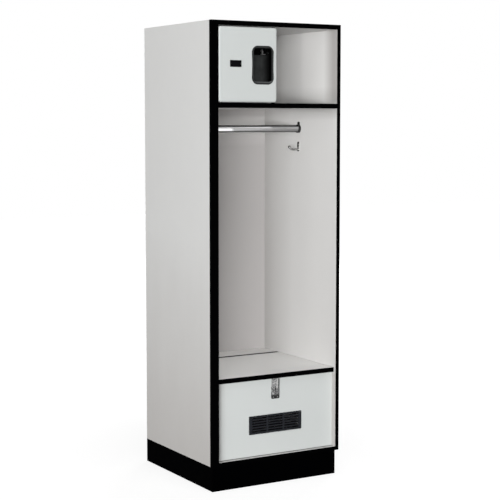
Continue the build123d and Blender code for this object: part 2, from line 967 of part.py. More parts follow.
def lid_batten(side):
    """Batten on a side wall that carries the lid; side is 1 on the left and -1 on the right."""
    x0 = clear_left if side > 0 else clear_right - batten_width
    z0 = foot_panel_top - batten_height
    bar = block(x0, x0 + batten_width, foot_panel_back, strip_front, z0, foot_panel_top)
    return bar - batten_holes(side)


def batten_screws():
    """The screws of both lid battens."""
    left = [sunk_screw(point, rightward, board_screw, batten_screw_length)
            for point in batten_screw_points(1)]
    right = [sunk_screw(point, leftward, board_screw, batten_screw_length)
             for point in batten_screw_points(-1)]
    return left + right


def hinge_start():
    """Left end of the continuous hinge."""
    return lid_left + lid_hinge_end_margin


def hinge_length():
    """Length of the continuous hinge."""
    return lid_right - lid_left - 2 * lid_hinge_end_margin


def hinge_screw_points(y):
    """Screws along one leaf of the continuous hinge."""
    z = lid_axis_z - lid_hinge_screw_drop
    return [(between(hinge_start(), hinge_start() + hinge_length(), share), y, z)
            for share in lid_hinge_screw_shares]


def fixed_hinge_holes():
    """The cuts for the screws of the fixed leaf."""
    points = hinge_screw_points(strip_front - lid_leaf_thickness)
    return [sunk_hole(point, forward, hinge_screw, lid_hinge_screw_length) for point in points]


def moving_hinge_holes():
    """The cuts for the screws of the leaf on the lid."""
    points = hinge_screw_points(lid_back + lid_leaf_thickness)
    return [sunk_hole(point, backward, hinge_screw, lid_hinge_screw_length) for point in points]


def hinge_leaf(y0, y1, first_knuckle):
    """A leaf with every second knuckle, notched where the other leaf's knuckles turn."""
    start = hinge_start()
    pitch = hinge_length() / lid_knuckle_count
    leaf = block(start, start + hinge_length(), y0, y1, lid_axis_z - lid_leaf_height, lid_axis_z)
    notch_floor = lid_axis_z - lid_knuckle_radius - rest_gap
    notches = []
    knuckles = []
    for i in range(lid_knuckle_count):
        x0 = start + i * pitch
        if i % 2 == first_knuckle:
            origin = (x0 + knuckle_end_gap, lid_axis_y, lid_axis_z)
            length = pitch - 2 * knuckle_end_gap
            knuckles.append(cylinder_along(origin, rightward, lid_knuckle_radius, length))
        else:
            notches.append(block(x0, x0 + pitch, y0 - cut_overrun, y1 + cut_overrun,
                                 notch_floor, lid_axis_z + cut_overrun))
    bore = cylinder_along((start - cut_overrun, lid_axis_y, lid_axis_z), rightward,
                          lid_pin_radius + pin_clearance, hinge_length() + 2 * cut_overrun)
    return leaf - notches + knuckles - bore


def lid_hinge_fixed_leaf():
    """Hinge leaf on the front edge of the rear strip."""
    return hinge_leaf(strip_front - lid_leaf_thickness, strip_front, 0) - fixed_hinge_holes()


def lid_hinge_moving_leaf():
    """Hinge leaf on the rear edge of the lid."""
    return hinge_leaf(lid_back, lid_back + lid_leaf_thickness, 1) - moving_hinge_holes()


def lid_hinge_pin():
    """Pin of the continuous hinge."""
    return cylinder_along((hinge_start(), lid_axis_y, lid_axis_z), rightward, lid_pin_radius, hinge_length())


def seat_rear_strip():
    """Fixed rear strip of the seat, which carries the hinge."""
    board = block(clear_left, clear_right, strip_front, back_face, seat_underside, seat_height)
    cuts = dowel_holes(strip_places(left_wall) + strip_places(right_wall))
    return board - (cuts + back_holes(back_screw_points(seat_middle)) + fixed_hinge_holes())


def hasp_leaf_screw_points():
    """The two screws of the hasp leaf, in the underside of the lid."""
    y = hasp_axis_y - hasp_leaf_screw_depth
    z = seat_underside - hasp_plate_thickness
    return [(hasp_x + side * hasp_screw_offset, y, z) for side in (-1, 1)]


def hasp_leaf_holes():
    """The cuts for the screws of the hasp leaf."""
    length = fitting_screw_length
    return [sunk_hole(point, downward, fitting_screw, length) for point in hasp_leaf_screw_points()]


def seat_lid():
    """Hinged lid of the foot locker, which is also the seat."""
    board = block(lid_left, lid_right, lid_front + edging_thickness, lid_back, seat_underside, seat_height)
    return board - (moving_hinge_holes() + hasp_leaf_holes())


def seat_lid_edging():
    """Black edging strip on the front edge of the lid."""
    return block(lid_left, lid_right, lid_front, lid_front + edging_thickness, seat_underside, seat_height)


def hasp_leaf():
    """Leaf under the front of the lid, with the two outer knuckles of the hasp."""
    x0 = hasp_x - hasp_width / 2
    x1 = hasp_x + hasp_width / 2
    y0 = hasp_axis_y - hasp_leaf_depth
    z0 = seat_underside - hasp_plate_thickness
    plate = block(x0, x1, y0, hasp_axis_y, z0, seat_underside)
    room = hasp_middle_knuckle / 2 + knuckle_end_gap
    notch = block(hasp_x - room, hasp_x + room, hasp_axis_y - hasp_knuckle_radius - rest_gap,
                  hasp_axis_y + cut_overrun, z0 - cut_overrun, seat_underside + cut_overrun)
    length = hasp_width / 2 - room
    knuckles = [cylinder_along((x, hasp_axis_y, hasp_axis_z), rightward, hasp_knuckle_radius, length)
                for x in (x0, x1 - length)]
    bore = cylinder_along((x0 - cut_overrun, hasp_axis_y, hasp_axis_z), rightward,
                          hasp_pin_radius + pin_clearance, hasp_width + 2 * cut_overrun)
    return plate - notch + knuckles - bore - hasp_leaf_holes()


def hasp_pin():
    """Pin of the hasp."""
    start = (hasp_x - hasp_width / 2, hasp_axis_y, hasp_axis_z)
    return cylinder_along(start, rightward, hasp_pin_radius, hasp_width)


def hasp_leaf_screws():
    """The two screws of the hasp leaf."""
    length = fitting_screw_length
    return [sunk_screw(point, downward, fitting_screw, length) for point in hasp_leaf_screw_points()]


def hasp_strap():
    """Slotted strap that hangs over the staple."""
    top = hasp_axis_z - hasp_knuckle_radius - rest_gap
    bottom = hasp_axis_z - hasp_strap_length
    plane = front_plane(hasp_x, strap_back, (top + bottom) / 2)
    outline = RectangleRounded(hasp_strap_width, top - bottom, hasp_corner_radius)
    strap = extrude(plane * outline, hasp_plate_thickness)
    half = hasp_middle_knuckle / 2
    tongue = block(hasp_x - half, hasp_x + half, strap_front, strap_back,
                   top - hasp_corner_radius, hasp_axis_z)
    start = (hasp_x - half, hasp_axis_y, hasp_axis_z)
    knuckle = cylinder_along(start, rightward, hasp_knuckle_radius, hasp_middle_knuckle)
    bore = cylinder_along(start, rightward, hasp_pin_radius + pin_clearance, hasp_middle_knuckle)
    slot_plane = front_plane(hasp_x, strap_back + cut_overrun, staple_height)
    end_radius = strap_slot_width / 2 - hole_clearance
    slot = RectangleRounded(strap_slot_width, strap_slot_tall, end_radius)
    opening = extrude(slot_plane * slot, hasp_plate_thickness + 2 * cut_overrun)
    return strap + tongue + knuckle - bore - opening


def hasp_staple():
    """Plate on the front panel, with the pierced tab that takes the padlock."""
    plane = front_plane(hasp_x, foot_panel_front, staple_plate_bottom + staple_plate_tall / 2)
    outline = RectangleRounded(hasp_width, staple_plate_tall, hasp_corner_radius)
    plate = extrude(plane * outline, hasp_plate_thickness)
    half = staple_tab_thickness / 2
    tip = staple_plate_front - staple_tab_reach
    z0 = staple_height - staple_tab_tall / 2
    z1 = staple_height + staple_tab_tall / 2
    tab = block(hasp_x - half, hasp_x + half, tip, staple_plate_front, z0, z1)
    tab = fillet(tab.edges().filter_by(Axis.X).group_by(Axis.Y)[0], staple_tab_radius)
    hole = cylinder_along((hasp_x - half, tip + staple_hole_inset, staple_height), rightward,
                          staple_hole_radius, staple_tab_thickness)
    return plate + tab - hole - staple_holes()


def staple_screws():
    """The four screws of the staple plate."""
    length = fitting_screw_length
    return [sunk_screw(point, forward, fitting_screw, length) for point in staple_screw_points()]


# Door of the security box


def door_pivot_holes():
    """The cuts for the two bushings in the ends of the door."""
    radius = bushing_radius
    upper = plain_hole((pivot_x, pivot_y, door_top), upward, radius, bushing_length + rest_gap)
    lower = plain_hole((pivot_x, pivot_y, door_bottom), downward, radius, bushing_length + rest_gap)
    return [upper, lower]


def plate_rivet_points():
    """The two rivets of the number plate."""
    x = door_left + plate_from_door_left
    y = door_front - plate_thickness
    return [(x + side * plate_rivet_offset, y, plate_height) for side in (-1, 1)]


def rivet_holes():
    """The cuts for the rivets of the number plate."""
    points = plate_rivet_points()
    return [plain_hole(point, forward, plate_rivet_radius, plate_rivet_length) for point in points]


def box_door():
    """Door with rounded corners and edges, cut out for the handle pocket."""
    panel = block(door_left, door_right, door_front, door_back, door_bottom, door_top)
    panel = fillet(panel.edges().filter_by(Axis.Y), door_corner_radius)
    panel = fillet(panel.faces().sort_by(Axis.Y)[0].edges(), door_front_rounding)
    panel = fillet(panel.faces().sort_by(Axis.Y)[-1].edges(), door_back_rounding)
    wall = pocket_wall + pocket_hole_gap
    plane = front_plane(pocket_x, door_front - cut_overrun, pocket_centre_height)
    outline = RectangleRounded(pocket_width + 2 * wall, pocket_tall + 2 * wall, pocket_corner_radius + wall)
    cut_out = extrude(plane * outline, -(door_thickness + 2 * cut_overrun))
    return panel - ([cut_out] + door_pivot_holes() + rivet_holes())


def door_pivot_pins():
    """The two fixed pins that the door turns on."""
    length = pivot_pin_embed + door_gap + pivot_pin_reach
    upper = (pivot_x, pivot_y, top_underside + pivot_pin_embed)
    lower = (pivot_x, pivot_y, shelf_top - pivot_pin_embed)
    return [cylinder_along(upper, downward, pivot_pin_radius, length),
            cylinder_along(lower, upward, pivot_pin_radius, length)]


def pivot_bushing(height, outward):
    """A flanged bushing in one end of the door."""
    inward = Vector(outward) * -1
    face = Vector(pivot_x, pivot_y, height)
    sleeve = cylinder_along(face, inward, bushing_radius, bushing_length)
    thickness = door_gap - rest_gap
    flange = cylinder_along(face, outward, bushing_flange_radius, thickness)
    bore_start = face + Vector(outward) * thickness
    bore = cylinder_along(bore_start, inward, pivot_pin_radius + pin_clearance, thickness + bushing_length)
    return sleeve + flange - bore


def bezel_outline():
    """Outline of the bezel: round corners and slightly waisted long sides."""
    x = bezel_width / 2
    y = bezel_tall / 2
    r = bezel_corner_radius
    waist = x - bezel_waist
    edges = [
        Line((r - x, y), (x - r, y)),
        CenterArc((x - r, y - r), r, 90, -90),
        ThreePointArc((x, y - r), (waist, 0), (x, r - y)),
        CenterArc((x - r, r - y), r, 0, -90),
        Line((x - r, -y), (r - x, -y)),
        CenterArc((r - x, r - y), r, -90, -90),
        ThreePointArc((-x, r - y), (-waist, 0), (-x, y - r)),
        CenterArc((r - x, y - r), r, 180, -90),
    ]
    return make_face(Curve() + edges)


def pocket_snaps():
    """Snap lugs on the pocket's top and bottom walls, behind the door."""
    lugs = []
    z_outer = pocket_tall / 2 + pocket_wall
    y0 = door_back + rest_gap
    for side in (-1, 1):
        for spread in (-1, 1):
            x = pocket_x + spread * snap_spread_share * pocket_width / 2
            z0 = pocket_centre_height + side * (z_outer - pocket_wall / 2)
            z1 = pocket_centre_height + side * (z_outer + pocket_hole_gap + snap_reach)
            lugs.append(block(x - snap_width / 2, x + snap_width / 2, y0, y0 + snap_thickness,
                              min(z0, z1), max(z0, z1)))
    return lugs


def case_screw_points(y):
    """The two screws of the latch case, in its ears."""
    dx = case_width / 2 + case_ear / 2
    z = (lever_top + lever_bottom) / 2
    return [(pocket_x + side * dx, y, z) for side in (-1, 1)]


def case_screw_holes():
    """The cuts for the screws of the latch case."""
    points = case_screw_points(pocket_back + case_sheet)
    length = pocket_wall + case_sheet + cut_overrun
    return [plain_hole(point, backward, case_screw_radius, length) for point in points]


def handle_pocket():
    """Recessed plastic pocket with a bezel, open at its top back for the latch."""
    plane = front_plane(pocket_x, door_front, pocket_centre_height)
    bezel = extrude(plane * bezel_outline(), bezel_thickness, taper=bezel_taper)
    outer = RectangleRounded(pocket_width + 2 * pocket_wall, pocket_tall + 2 * pocket_wall,
                             pocket_corner_radius + pocket_wall)
    shell = extrude(plane * outer, -(pocket_depth + pocket_wall))
    mouth_plane = front_plane(pocket_x, door_front - bezel_thickness, pocket_centre_height)
    inner = RectangleRounded(pocket_width, pocket_tall, pocket_corner_radius)
    cavity = extrude(mouth_plane * inner, -(bezel_thickness + pocket_depth))
    flare = RectangleRounded(pocket_width + 2 * mouth_bevel, pocket_tall + 2 * mouth_bevel,
                             pocket_corner_radius + mouth_bevel)
    cavity += extrude(mouth_plane * flare, -mouth_bevel, taper=45)
    half = case_width / 2 - case_window_inset
    window = block(pocket_x - half, pocket_x + half, pocket_back - pocket_wall - cut_overrun,
                   pocket_back + cut_overrun, case_floor - case_sheet - rest_gap, pocket_top)
    return bezel + shell + pocket_snaps() - cavity - window - case_screw_holes()


def latch_case():
    """Sheet-metal case behind the pocket, with ears and the fixed padlock eye."""
    x0 = pocket_x - case_width / 2
    x1 = pocket_x + case_width / 2
    y1 = pocket_back + case_depth
    z0 = case_floor - case_sheet
    z1 = pocket_top + case_sheet
    shell = block(x0, x1, pocket_back, y1, z0, z1)
    room = block(x0 + case_sheet, x1 - case_sheet, pocket_back - cut_overrun, y1 - case_sheet,
                 case_floor, pocket_top)
    ear_z0 = lever_bottom
    ears = block(x0 - case_ear, x1 + case_ear, pocket_back, pocket_back + case_sheet, ear_z0, lever_top)
    slot = block(x1 - case_sheet - cut_overrun, x1 + cut_overrun, lever_front - lever_slot_room,
                 lever_front + lever_sheet + lever_slot_room, arm_bottom - lever_slot_room,
                 pocket_top)
    eye_x1 = pocket_x + lever_eye_offset - eye_gap
    eye_front = door_front + lever_eye_inset()
    eye_back = lever_front - fixed_eye_gap
    eye = block(eye_x1 - lever_sheet, eye_x1, eye_front, eye_back, z0, z0 + fixed_eye_tall)
    return shell + ears - room - slot + eye - eye_holes() - case_screw_holes()


def lever_eye_inset():
    """How far the padlock eyes end behind the door's front face."""
    return pocket_depth + pocket_wall - lever_eye_reach


def eye_holes():
    """The holes for the padlock, through the fixed eye and the lever's eye."""
    y = door_front + lever_eye_inset() + eye_hole_reach
    z = (lever_top + lever_bottom) / 2
    x0 = pocket_x + lever_eye_offset - eye_gap - lever_sheet - cut_overrun
    length = 2 * lever_sheet + eye_gap + 2 * cut_overrun
    return [cylinder_along((x0, y, z), rightward, eye_hole_radius, length)]


def latch_lever():
    """Lever that lifts in the case: plate, padlock eye, finger lip and the arm to the keeper."""
    x0 = pocket_x - lever_plate_width / 2
    x1 = pocket_x + lever_plate_width / 2
    y1 = lever_front + lever_sheet
    plate = block(x0, x1, lever_front, y1, lever_bottom, lever_top)
    tip = keeper_face - lever_tip_gap
    arm = block(x1 - cut_overrun, tip, lever_front, y1, arm_bottom, lever_top)
    eye_x0 = pocket_x + lever_eye_offset
    eye_front = door_front + lever_eye_inset()
    eye = block(eye_x0, eye_x0 + lever_sheet, eye_front, lever_front, lever_bottom, lever_top)
    lip = block(eye_x0, eye_x0 + finger_lip_width, eye_front, eye_front + finger_lip_depth,
                lever_bottom, lever_bottom + lever_sheet)
    return plate + arm + eye + lip - eye_holes()


def case_screws():
    """The two screws that hold the latch case to the pocket."""
    points = case_screw_points(pocket_back + case_sheet)
    return [pan_screw(point, backward, case_screw, pocket_wall + case_sheet, True) for point in points]


def keeper_bottom():
    """Underside of the latch keeper."""
    return arm_bottom + keeper_overlap - keeper_tab_tall


def keeper_back():
    """Rear edge of the latch keeper."""
    return lever_front - keeper_gap - keeper_sheet + keeper_depth


def latch_keeper():
    """Angle on the partition, with the tab that holds the lever's arm."""
    y0 = lever_front - keeper_gap - keeper_sheet
    z0 = keeper_bottom()
    plate = block(keeper_face, partition_left, y0, keeper_back(), z0, z0 + keeper_tall)
    tab = block(keeper_face - keeper_tab_reach, keeper_face, y0, y0 + keeper_sheet,
                z0, z0 + keeper_tab_tall)
    return plate + tab - keeper_holes()


def keeper_screws():
    """The two screws of the keeper."""
    length = fitting_screw_length
    return [sunk_screw(point, leftward, fitting_screw, length) for point in keeper_screw_points()]


def digit_one():
    """Strokes of a plain figure one, centred at the origin."""
    return Rectangle(digit_stroke, digit_tall)


def digit_eight():
    """Strokes of a plain figure eight, centred at the origin."""
    width = digit_tall / 2
    uprights = [Pos(side * width / 2, 0) * Rectangle(digit_stroke, digit_tall) for side in (-1, 1)]
    rise = (digit_tall - digit_stroke) / 2
    bars = [Pos(0, side * rise) * Rectangle(width, digit_stroke) for side in (-1, 0, 1)]
    return Sketch() + uprights + bars


def number_plate():
    """Small black plate with a plain engraved number."""
    x = door_left + plate_from_door_left
    plane = front_plane(x, door_front, plate_height)
    plate = extrude(plane * RectangleRounded(plate_width, plate_tall, plate_corner_radius), plate_thickness)
    face = front_plane(x, door_front - plate_thickness, plate_height)
    figures = Pos(-digit_spacing, 0) * digit_one() + Pos(digit_spacing, 0) * digit_eight()
    engraving = extrude(face * figures, -digit_depth)
    return plate - engraving - rivet_holes()


def plate_rivets():
    """The two rivets of the number plate."""
    return [pan_screw(point, forward, plate_rivet, plate_rivet_length, False)
            for point in plate_rivet_points()]


# Write every node

os.makedirs("parts", exist_ok=True)

save("left_end_panel", left_end_panel())
save("end_panel_lipping", end_panel_lipping())
save("left_side_panel", left_side_panel())
save("right_side_panel", right_side_panel())
save("side_panel_edging", side_edging(left_side_outer, clear_left), side_edging(clear_right, right_outer))
save("end_panel_screws", *[sunk_screw(point, rightward, board_screw, end_panel_screw_length)
                           for point in end_panel_screw_points()])

save("top_panel", top_panel())
save("top_edging", cross_edging(top_underside, carcass_top))
save("shelf_panel", shelf_panel())
save("shelf_edging", cross_edging(shelf_underside, shelf_top))
save("bottom_panel", bottom_panel())
save("bottom_edging", cross_edging(base_height, floor_top))
save("box_partition", box_partition())
save("partition_edging", partition_edging())
save("back_panel", back_panel())
save("back_panel_screws", *[sunk_screw(point, backward, board_screw, back_screw_length)
                            for point in all_back_screw_points()])
save("carcass_dowels", *carcass_dowels())

save("base_front_board", base_front_board())
save("base_back_board", base_back_board())
save("base_left_board", base_side_board(left_outer))
save("base_right_board", base_side_board(base_right - base_board_thickness))
save("base_corner_blocks", *base_corner_blocks())
save("base_screws", *base_screws())

save("coat_rod", coat_rod())
save("rod_socket_left", rod_socket(clear_left, 1))
save("rod_socket_right", rod_socket(clear_right, -1))
save("rod_socket_screws", *socket_screws())
save("coat_hook", coat_hook())
save("coat_hook_screws", *hook_screws())

save("foot_front_panel", foot_front_panel())
save("vent_grille", vent_grille())
save("vent_screws", *vent_screws())
save("lid_battens", lid_batten(1), lid_batten(-1))
save("lid_batten_screws", *batten_screws())
save("seat_rear_strip", seat_rear_strip())
save("seat_lid", seat_lid())
save("seat_lid_edging", seat_lid_edging())
save("lid_hinge_fixed_leaf", lid_hinge_fixed_leaf())
save("lid_hinge_moving_leaf", lid_hinge_moving_leaf())
save("lid_hinge_pin", lid_hinge_pin())
save("lid_hinge_fixed_screws", *[sunk_screw(point, forward, hinge_screw, lid_hinge_screw_length)
                                 for point in hinge_screw_points(strip_front - lid_leaf_thickness)])
save("lid_hinge_moving_screws", *[sunk_screw(point, backward, hinge_screw, lid_hinge_screw_length)
                                  for point in hinge_screw_points(lid_back + lid_leaf_thickness)])

save("hasp_leaf", hasp_leaf())
save("hasp_pin", hasp_pin())
save("hasp_leaf_screws", *hasp_leaf_screws())
save("hasp_strap", hasp_strap())
save("hasp_staple", hasp_staple())
save("hasp_staple_screws", *staple_screws())

save("box_door", box_door())
save("door_pivot_pins", *door_pivot_pins())
save("door_pivot_bushings", pivot_bushing(door_top, upward), pivot_bushing(door_bottom, downward))
save("handle_pocket", handle_pocket())
save("latch_case", latch_case())
save("latch_case_screws", *case_screws())
save("latch_lever", latch_lever())
save("latch_keeper", latch_keeper())
save("latch_keeper_screws", *keeper_screws())
save("number_plate", number_plate())
save("number_plate_rivets", *plate_rivets())
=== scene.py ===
import json
import math

import bpy
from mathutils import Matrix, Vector


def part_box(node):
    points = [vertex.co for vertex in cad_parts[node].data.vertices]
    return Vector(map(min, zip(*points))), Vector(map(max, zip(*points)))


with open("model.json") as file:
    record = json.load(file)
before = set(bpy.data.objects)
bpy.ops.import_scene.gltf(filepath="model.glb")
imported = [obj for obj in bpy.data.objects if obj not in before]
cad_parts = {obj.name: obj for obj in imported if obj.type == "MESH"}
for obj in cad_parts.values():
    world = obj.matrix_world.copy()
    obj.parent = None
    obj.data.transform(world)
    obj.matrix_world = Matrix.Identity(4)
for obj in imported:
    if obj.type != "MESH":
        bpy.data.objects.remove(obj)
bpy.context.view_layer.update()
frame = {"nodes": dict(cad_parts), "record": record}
nodes = frame["nodes"]
X, Y, Z = 0, 1, 2

# Camera at the photograph's viewing angle: its place in metres, and its lens for a picture 500 pixels wide

CAMERA_PLACE = (-2.951, -5.096, 1.521)
HEADING = math.radians(30.459)
TILT = math.radians(4.921)
SHIFT_Y = -0.023
LENS_PX = 1352.7
FRAME_PX = 500
SENSOR_MM = 36.0
CLIP_NEAR = 0.05
CLIP_FAR = 60.0

# Floor, world and lamps: lengths in metres, powers in watts

FLOOR_REACH = 15
FLOOR_GREY = 0.28
NEAR_FLOOR = 0.6
FAR_FLOOR = 2.2
NEAR_GLOW = 0.84
SOFT_SKY = 0.03
WHITE_SKY = 1.0
WHITE = (1, 1, 1, 1)
LAMPS = {
    "key": {"place": (-8.0, -9.5, 1.2), "target": (0, 0, 1.0), "size": (4.0, 2.0), "power": 1230},
    "key_left": {"place": (-7.0, -3.8, 3.2), "target": (0, 0, 1.0), "size": (3.0, 3.0), "power": 118},
    "front": {"place": (-4.0, -9.0, 2.0), "target": (0, 0, 1.0), "size": (3.0, 3.0), "power": 345},
    "top": {"place": (0, -2.5, 5.0), "target": (0, 0, 0.8), "size": (3.0, 3.0), "power": 65},
    "rear": {"place": (6.5, 6.0, 2.6), "target": (0, 0, 1.0), "size": (4.0, 3.0), "power": 430},
}

# Colours of the surfaces

LAMINATE = (0.64, 0.635, 0.625)
END_LAMINATE = (0.66, 0.66, 0.65)
BACK_LAMINATE = (0.62, 0.61, 0.60)
DOOR_LAMINATE = (0.455, 0.475, 0.468)
# Painted light: the foot locker's front is a lighter copy of the door's laminate
FOOT_LAMINATE = (0.515, 0.535, 0.528)
BOTTOM_LAMINATE = (0.6, 0.59, 0.58)
SEAT_LAMINATE = (0.62, 0.615, 0.605)
# Painted light: the seat's rear strip is a much lighter copy of the light laminate
STRIP_LAMINATE = (0.83, 0.82, 0.805)
EDGING = (0.0005, 0.0005, 0.0006)
EDGING_RUB = (0.02, 0.02, 0.021)
BASE_BLACK = (0.0003, 0.0003, 0.0004)
WOOD = (0.60, 0.45, 0.29)
CHROME = (0.95, 0.95, 0.96)
SOCKET = (0.05, 0.05, 0.05)
SOCKET_DARK = (0.003, 0.003, 0.003)
HOOK = (0.62, 0.62, 0.61)
HOOK_DARK = (0.05, 0.05, 0.05)
# Black of the spots about the hook's screws, and of the ball's rim, which is a painted reflection
HOOK_BLACK = (0.002, 0.002, 0.002)
PLATED = (0.42, 0.42, 0.42)
PLATED_DARK = (0.1, 0.1, 0.1)
STAPLE = (0.34, 0.34, 0.34)
STAPLE_DARK = (0.06, 0.06, 0.06)
# Painted highlight along one line of the hasp
STRAP_HIGHLIGHT = (0.6, 0.6, 0.59)
SCREW = (0.22, 0.22, 0.22)
BLACK_SCREW = (0.02, 0.02, 0.02)
COATED = (0.0012, 0.0012, 0.0012)
EYE = (0.12, 0.12, 0.12)
PLASTIC = (0.003, 0.003, 0.0035)
LOUVRE = (0.014, 0.015, 0.018)
# Painted shade deep in the vent's slots
LOUVRE_SLOT_SHADE = (0.001, 0.001, 0.001)
RIM = (0.026, 0.027, 0.027)
WELL = (0.0195, 0.0205, 0.0205)
# Painted shade in the pocket, and painted highlight on its lower bevel
WELL_PAINTED_SHADE = (0.0006, 0.0006, 0.0006)
BEVEL_PAINTED_HIGHLIGHT = (0.13, 0.135, 0.135)

# Colours of the marks on the laminate, most of them painted shade and painted light

FLOOR_SHADE_GREY = (0.47, 0.455, 0.44)
BELOW_SEAT_GREY = (0.44, 0.425, 0.41)
SEAM_SHADE_GREY = (0.03, 0.029, 0.028)
PAINTED_SHADE_GREY = (0.32, 0.31, 0.30)
BACK_PAINTED_SHADE = (0.42, 0.405, 0.40)
SHELF_SHADE_GREY = (0.2, 0.195, 0.19)
CUBBY_LIGHT = (0.98, 0.975, 0.96)
CUBBY_FRONT_SHADE = (0.41, 0.395, 0.385)
SEAT_LEFT_LIGHT = (0.98, 0.975, 0.96)
SEAT_TOP_LIGHT = (0.87, 0.865, 0.85)

# Faces and edges that the marks follow, taken from the frame, in metres

shelf_bottom, shelf_top = (corner[Z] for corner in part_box("shelf_panel"))
seat_low, seat_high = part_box("seat_lid")
foot_low, foot_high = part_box("foot_front_panel")
right_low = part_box("right_side_panel")[0]
back_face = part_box("back_panel")[0][Y]
strip_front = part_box("seat_rear_strip")[0][Y]
rod_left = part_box("coat_rod")[0][X]
hook_low, hook_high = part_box("coat_hook")
screw_low, screw_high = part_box("coat_hook_screws")
staple_low, staple_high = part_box("hasp_staple")
strap_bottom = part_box("hasp_strap")[0][Z]
lever_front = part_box("latch_lever")[0][Y]
vent_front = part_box("vent_grille")[0][Y]
pocket_low, pocket_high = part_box("handle_pocket")

# Places of the marks, in metres: a pair gives the two places between which a mark comes or goes

BEYOND = 1.0
BOARD_SKIN = 0.004
BOARD_BLUR = 0.01
# Painted shade on the end panel, darkening towards the floor
FLOOR_SHADE_HEIGHTS = (1.1, 0.1)
FLOOR_SHADE_SWAY = 0.08
# Band below the shelf where the back panel's painted shade is left out, as painted light
LIGHT_BAND_TOP = (shelf_bottom - 0.025, shelf_bottom - 0.06)
LIGHT_BAND_BOTTOM = (shelf_bottom - 0.17, shelf_bottom - 0.08)
SHELF_MIDDLE = (shelf_bottom + shelf_top) / 2
SHELF_BLUR = 0.002
# Painted shade on the right wall above and below the shelf
SHADE_ON_SHELF = (shelf_top + 0.075, shelf_top)
SHADE_UNDER_SHELF = (shelf_bottom - 0.05, shelf_bottom)
SHADE_UNDER_DEPTHS = (back_face - 0.002, right_low[Y] + 0.053)
# Painted shade on the right wall, towards the back corner and towards the seat
SHADE_CORNER_DEPTHS = (back_face - 0.242, back_face - 0.002)
SHADE_SEAT_HEIGHTS = (seat_high[Z] + 0.7, seat_high[Z])
# Painted light on the cubby wall, strongest at the back
CUBBY_LIGHT_DEPTHS = (back_face - 0.302, back_face - 0.162)
CUBBY_SHADE_DEPTHS = (right_low[Y] + 0.103, right_low[Y] + 0.033)
SEAT_LIGHT_SIDES = (seat_low[X] + 0.329, seat_low[X] + 0.079)
FOOT_SHADOW_SIDES = (foot_low[X] + 0.05, foot_low[X] + 0.004)
SEAM_WIDTH = 0.011
SEAM_BLUR = 0.001
FOOT_SEAM_WIDTH = 0.013
FOOT_SEAM_BLUR = 0.003
# Places along the rod where its painted reflection turns from white to grey, then to darker grey
ROD_WHITE_END = (rod_left + 0.217, rod_left + 0.232)
ROD_GREY_RIGHT = (rod_left + 0.42, rod_left + 0.436)
ROD_SLANT = 0.012
LOUVRE_DEPTHS = (vent_front + 0.0012, vent_front + 0.0027)
HASP_MIDDLE = (staple_low[X] + staple_high[X]) / 2
# Hasp: painted highlight along one line, painted shade on its right side, darker at its lowest part
STRAP_HIGHLIGHT_LEFT = HASP_MIDDLE + 0.0055
STRAP_HIGHLIGHT_RIGHT = HASP_MIDDLE + 0.009
STRAP_HIGHLIGHT_HEIGHTS = (strap_bottom + 0.012, strap_bottom + 0.016)
STRAP_SHADE_EDGE = HASP_MIDDLE + 0.0115
STRAP_LOW_HEIGHTS = (strap_bottom + 0.009, strap_bottom + 0.006)
STRAP_BLUR = 0.001
STRAP_LOW_SWAY = 0.004
EYE_WEAR_DEPTHS = (lever_front + 0.0118, lever_front + 0.0132)
EYE_WEAR_SWAY = 0.001
WELL_DEPTHS = (pocket_low[Y] + 0.004, pocket_low[Y] + 0.006)
# Pocket floor: painted shade towards its right side and its top
WELL_SHADE_SIDES = (pocket_high[X] - 0.046, pocket_high[X] - 0.016)
WELL_SHADE_HEIGHTS = (pocket_high[Z] - 0.03, pocket_high[Z] - 0.023)
WELL_SWAY = 0.003
HOOK_ARM = (hook_high[X] - 0.0045, hook_high[X] - 0.0055)
HOOK_BALL = (hook_low[X] + 0.0075, hook_low[X] + 0.0065)
SPOT_RADIUS = 0.0074
SPOT_BLUR = 0.0008
SPOT_INSET = 0.0035
HOOK_CENTRE = (screw_low[Y] + screw_high[Y]) / 2
SPOT_HEIGHTS = (screw_low[Z] + SPOT_INSET, screw_high[Z] - SPOT_INSET, hook_low[Z] + SPOT_INSET)

# Directions of a face: a pair gives two values of its normal between which a mark comes or goes

ROD_SWAY = 0.04
# Slopes of the rod's painted reflection: lighter upper part, dark lines at top and bottom
ROD_LIT_UPPER = (0.06, 0.22)
ROD_CROWN = (0.5, 0.62)
ROD_BOTTOM = (-0.58, -0.72)
WALL_FACING = (0.6, 0.5)
BEVEL_FACING = (0.6, 0.66)
BEVEL_UPWARD = (0.4, 0.6)
UNDER_FACING = (0.8, 0.74)
UNDER_DOWNWARD = (-0.4, -0.6)
BALL_RIM_FACING = (0.8, 0.65)

# Levels between which a noise is cut, spans of a mask, and levels of roughness

WIDE = (0.3, 0.72)
SOFT = (0.3, 0.7)
EVEN = (0.35, 0.65)
BLOTCHED = (0.42, 0.6)
FINE_BLOTCHED = (0.44, 0.56)
SCUFFED = (0.66, 0.78)
RUBBED = (0.72, 0.86)
PORES = (0.6, 0.7)
DUSTY = (0.6, 0.8)
STAINED = (0.35, 0.75)
CLOUDY = (0.2, 0.8)
WHOLE = (0.0, 1.0)
INVERSE = (1.0, 0.0)
SATIN = (0.41, 0.48)
DULL = (0.5, 0.7)
MOULDED = (0.42, 0.6)
COATING = (0.3, 0.45)
POLISH = (0.06, 0.16)

# Waves per metre of the blotches on the rod's sockets, and heights of fine bumps in metres

SOCKET_BLOTCHES = 260
PLATING_GRAIN = 0.000015
ROD_GRAIN = 0.00001
FINE_GRAIN = 0.00003
EDGE_GRAIN = 0.00004
MOULD_GRAIN = 0.00005
WOOD_GRAIN = 0.0002


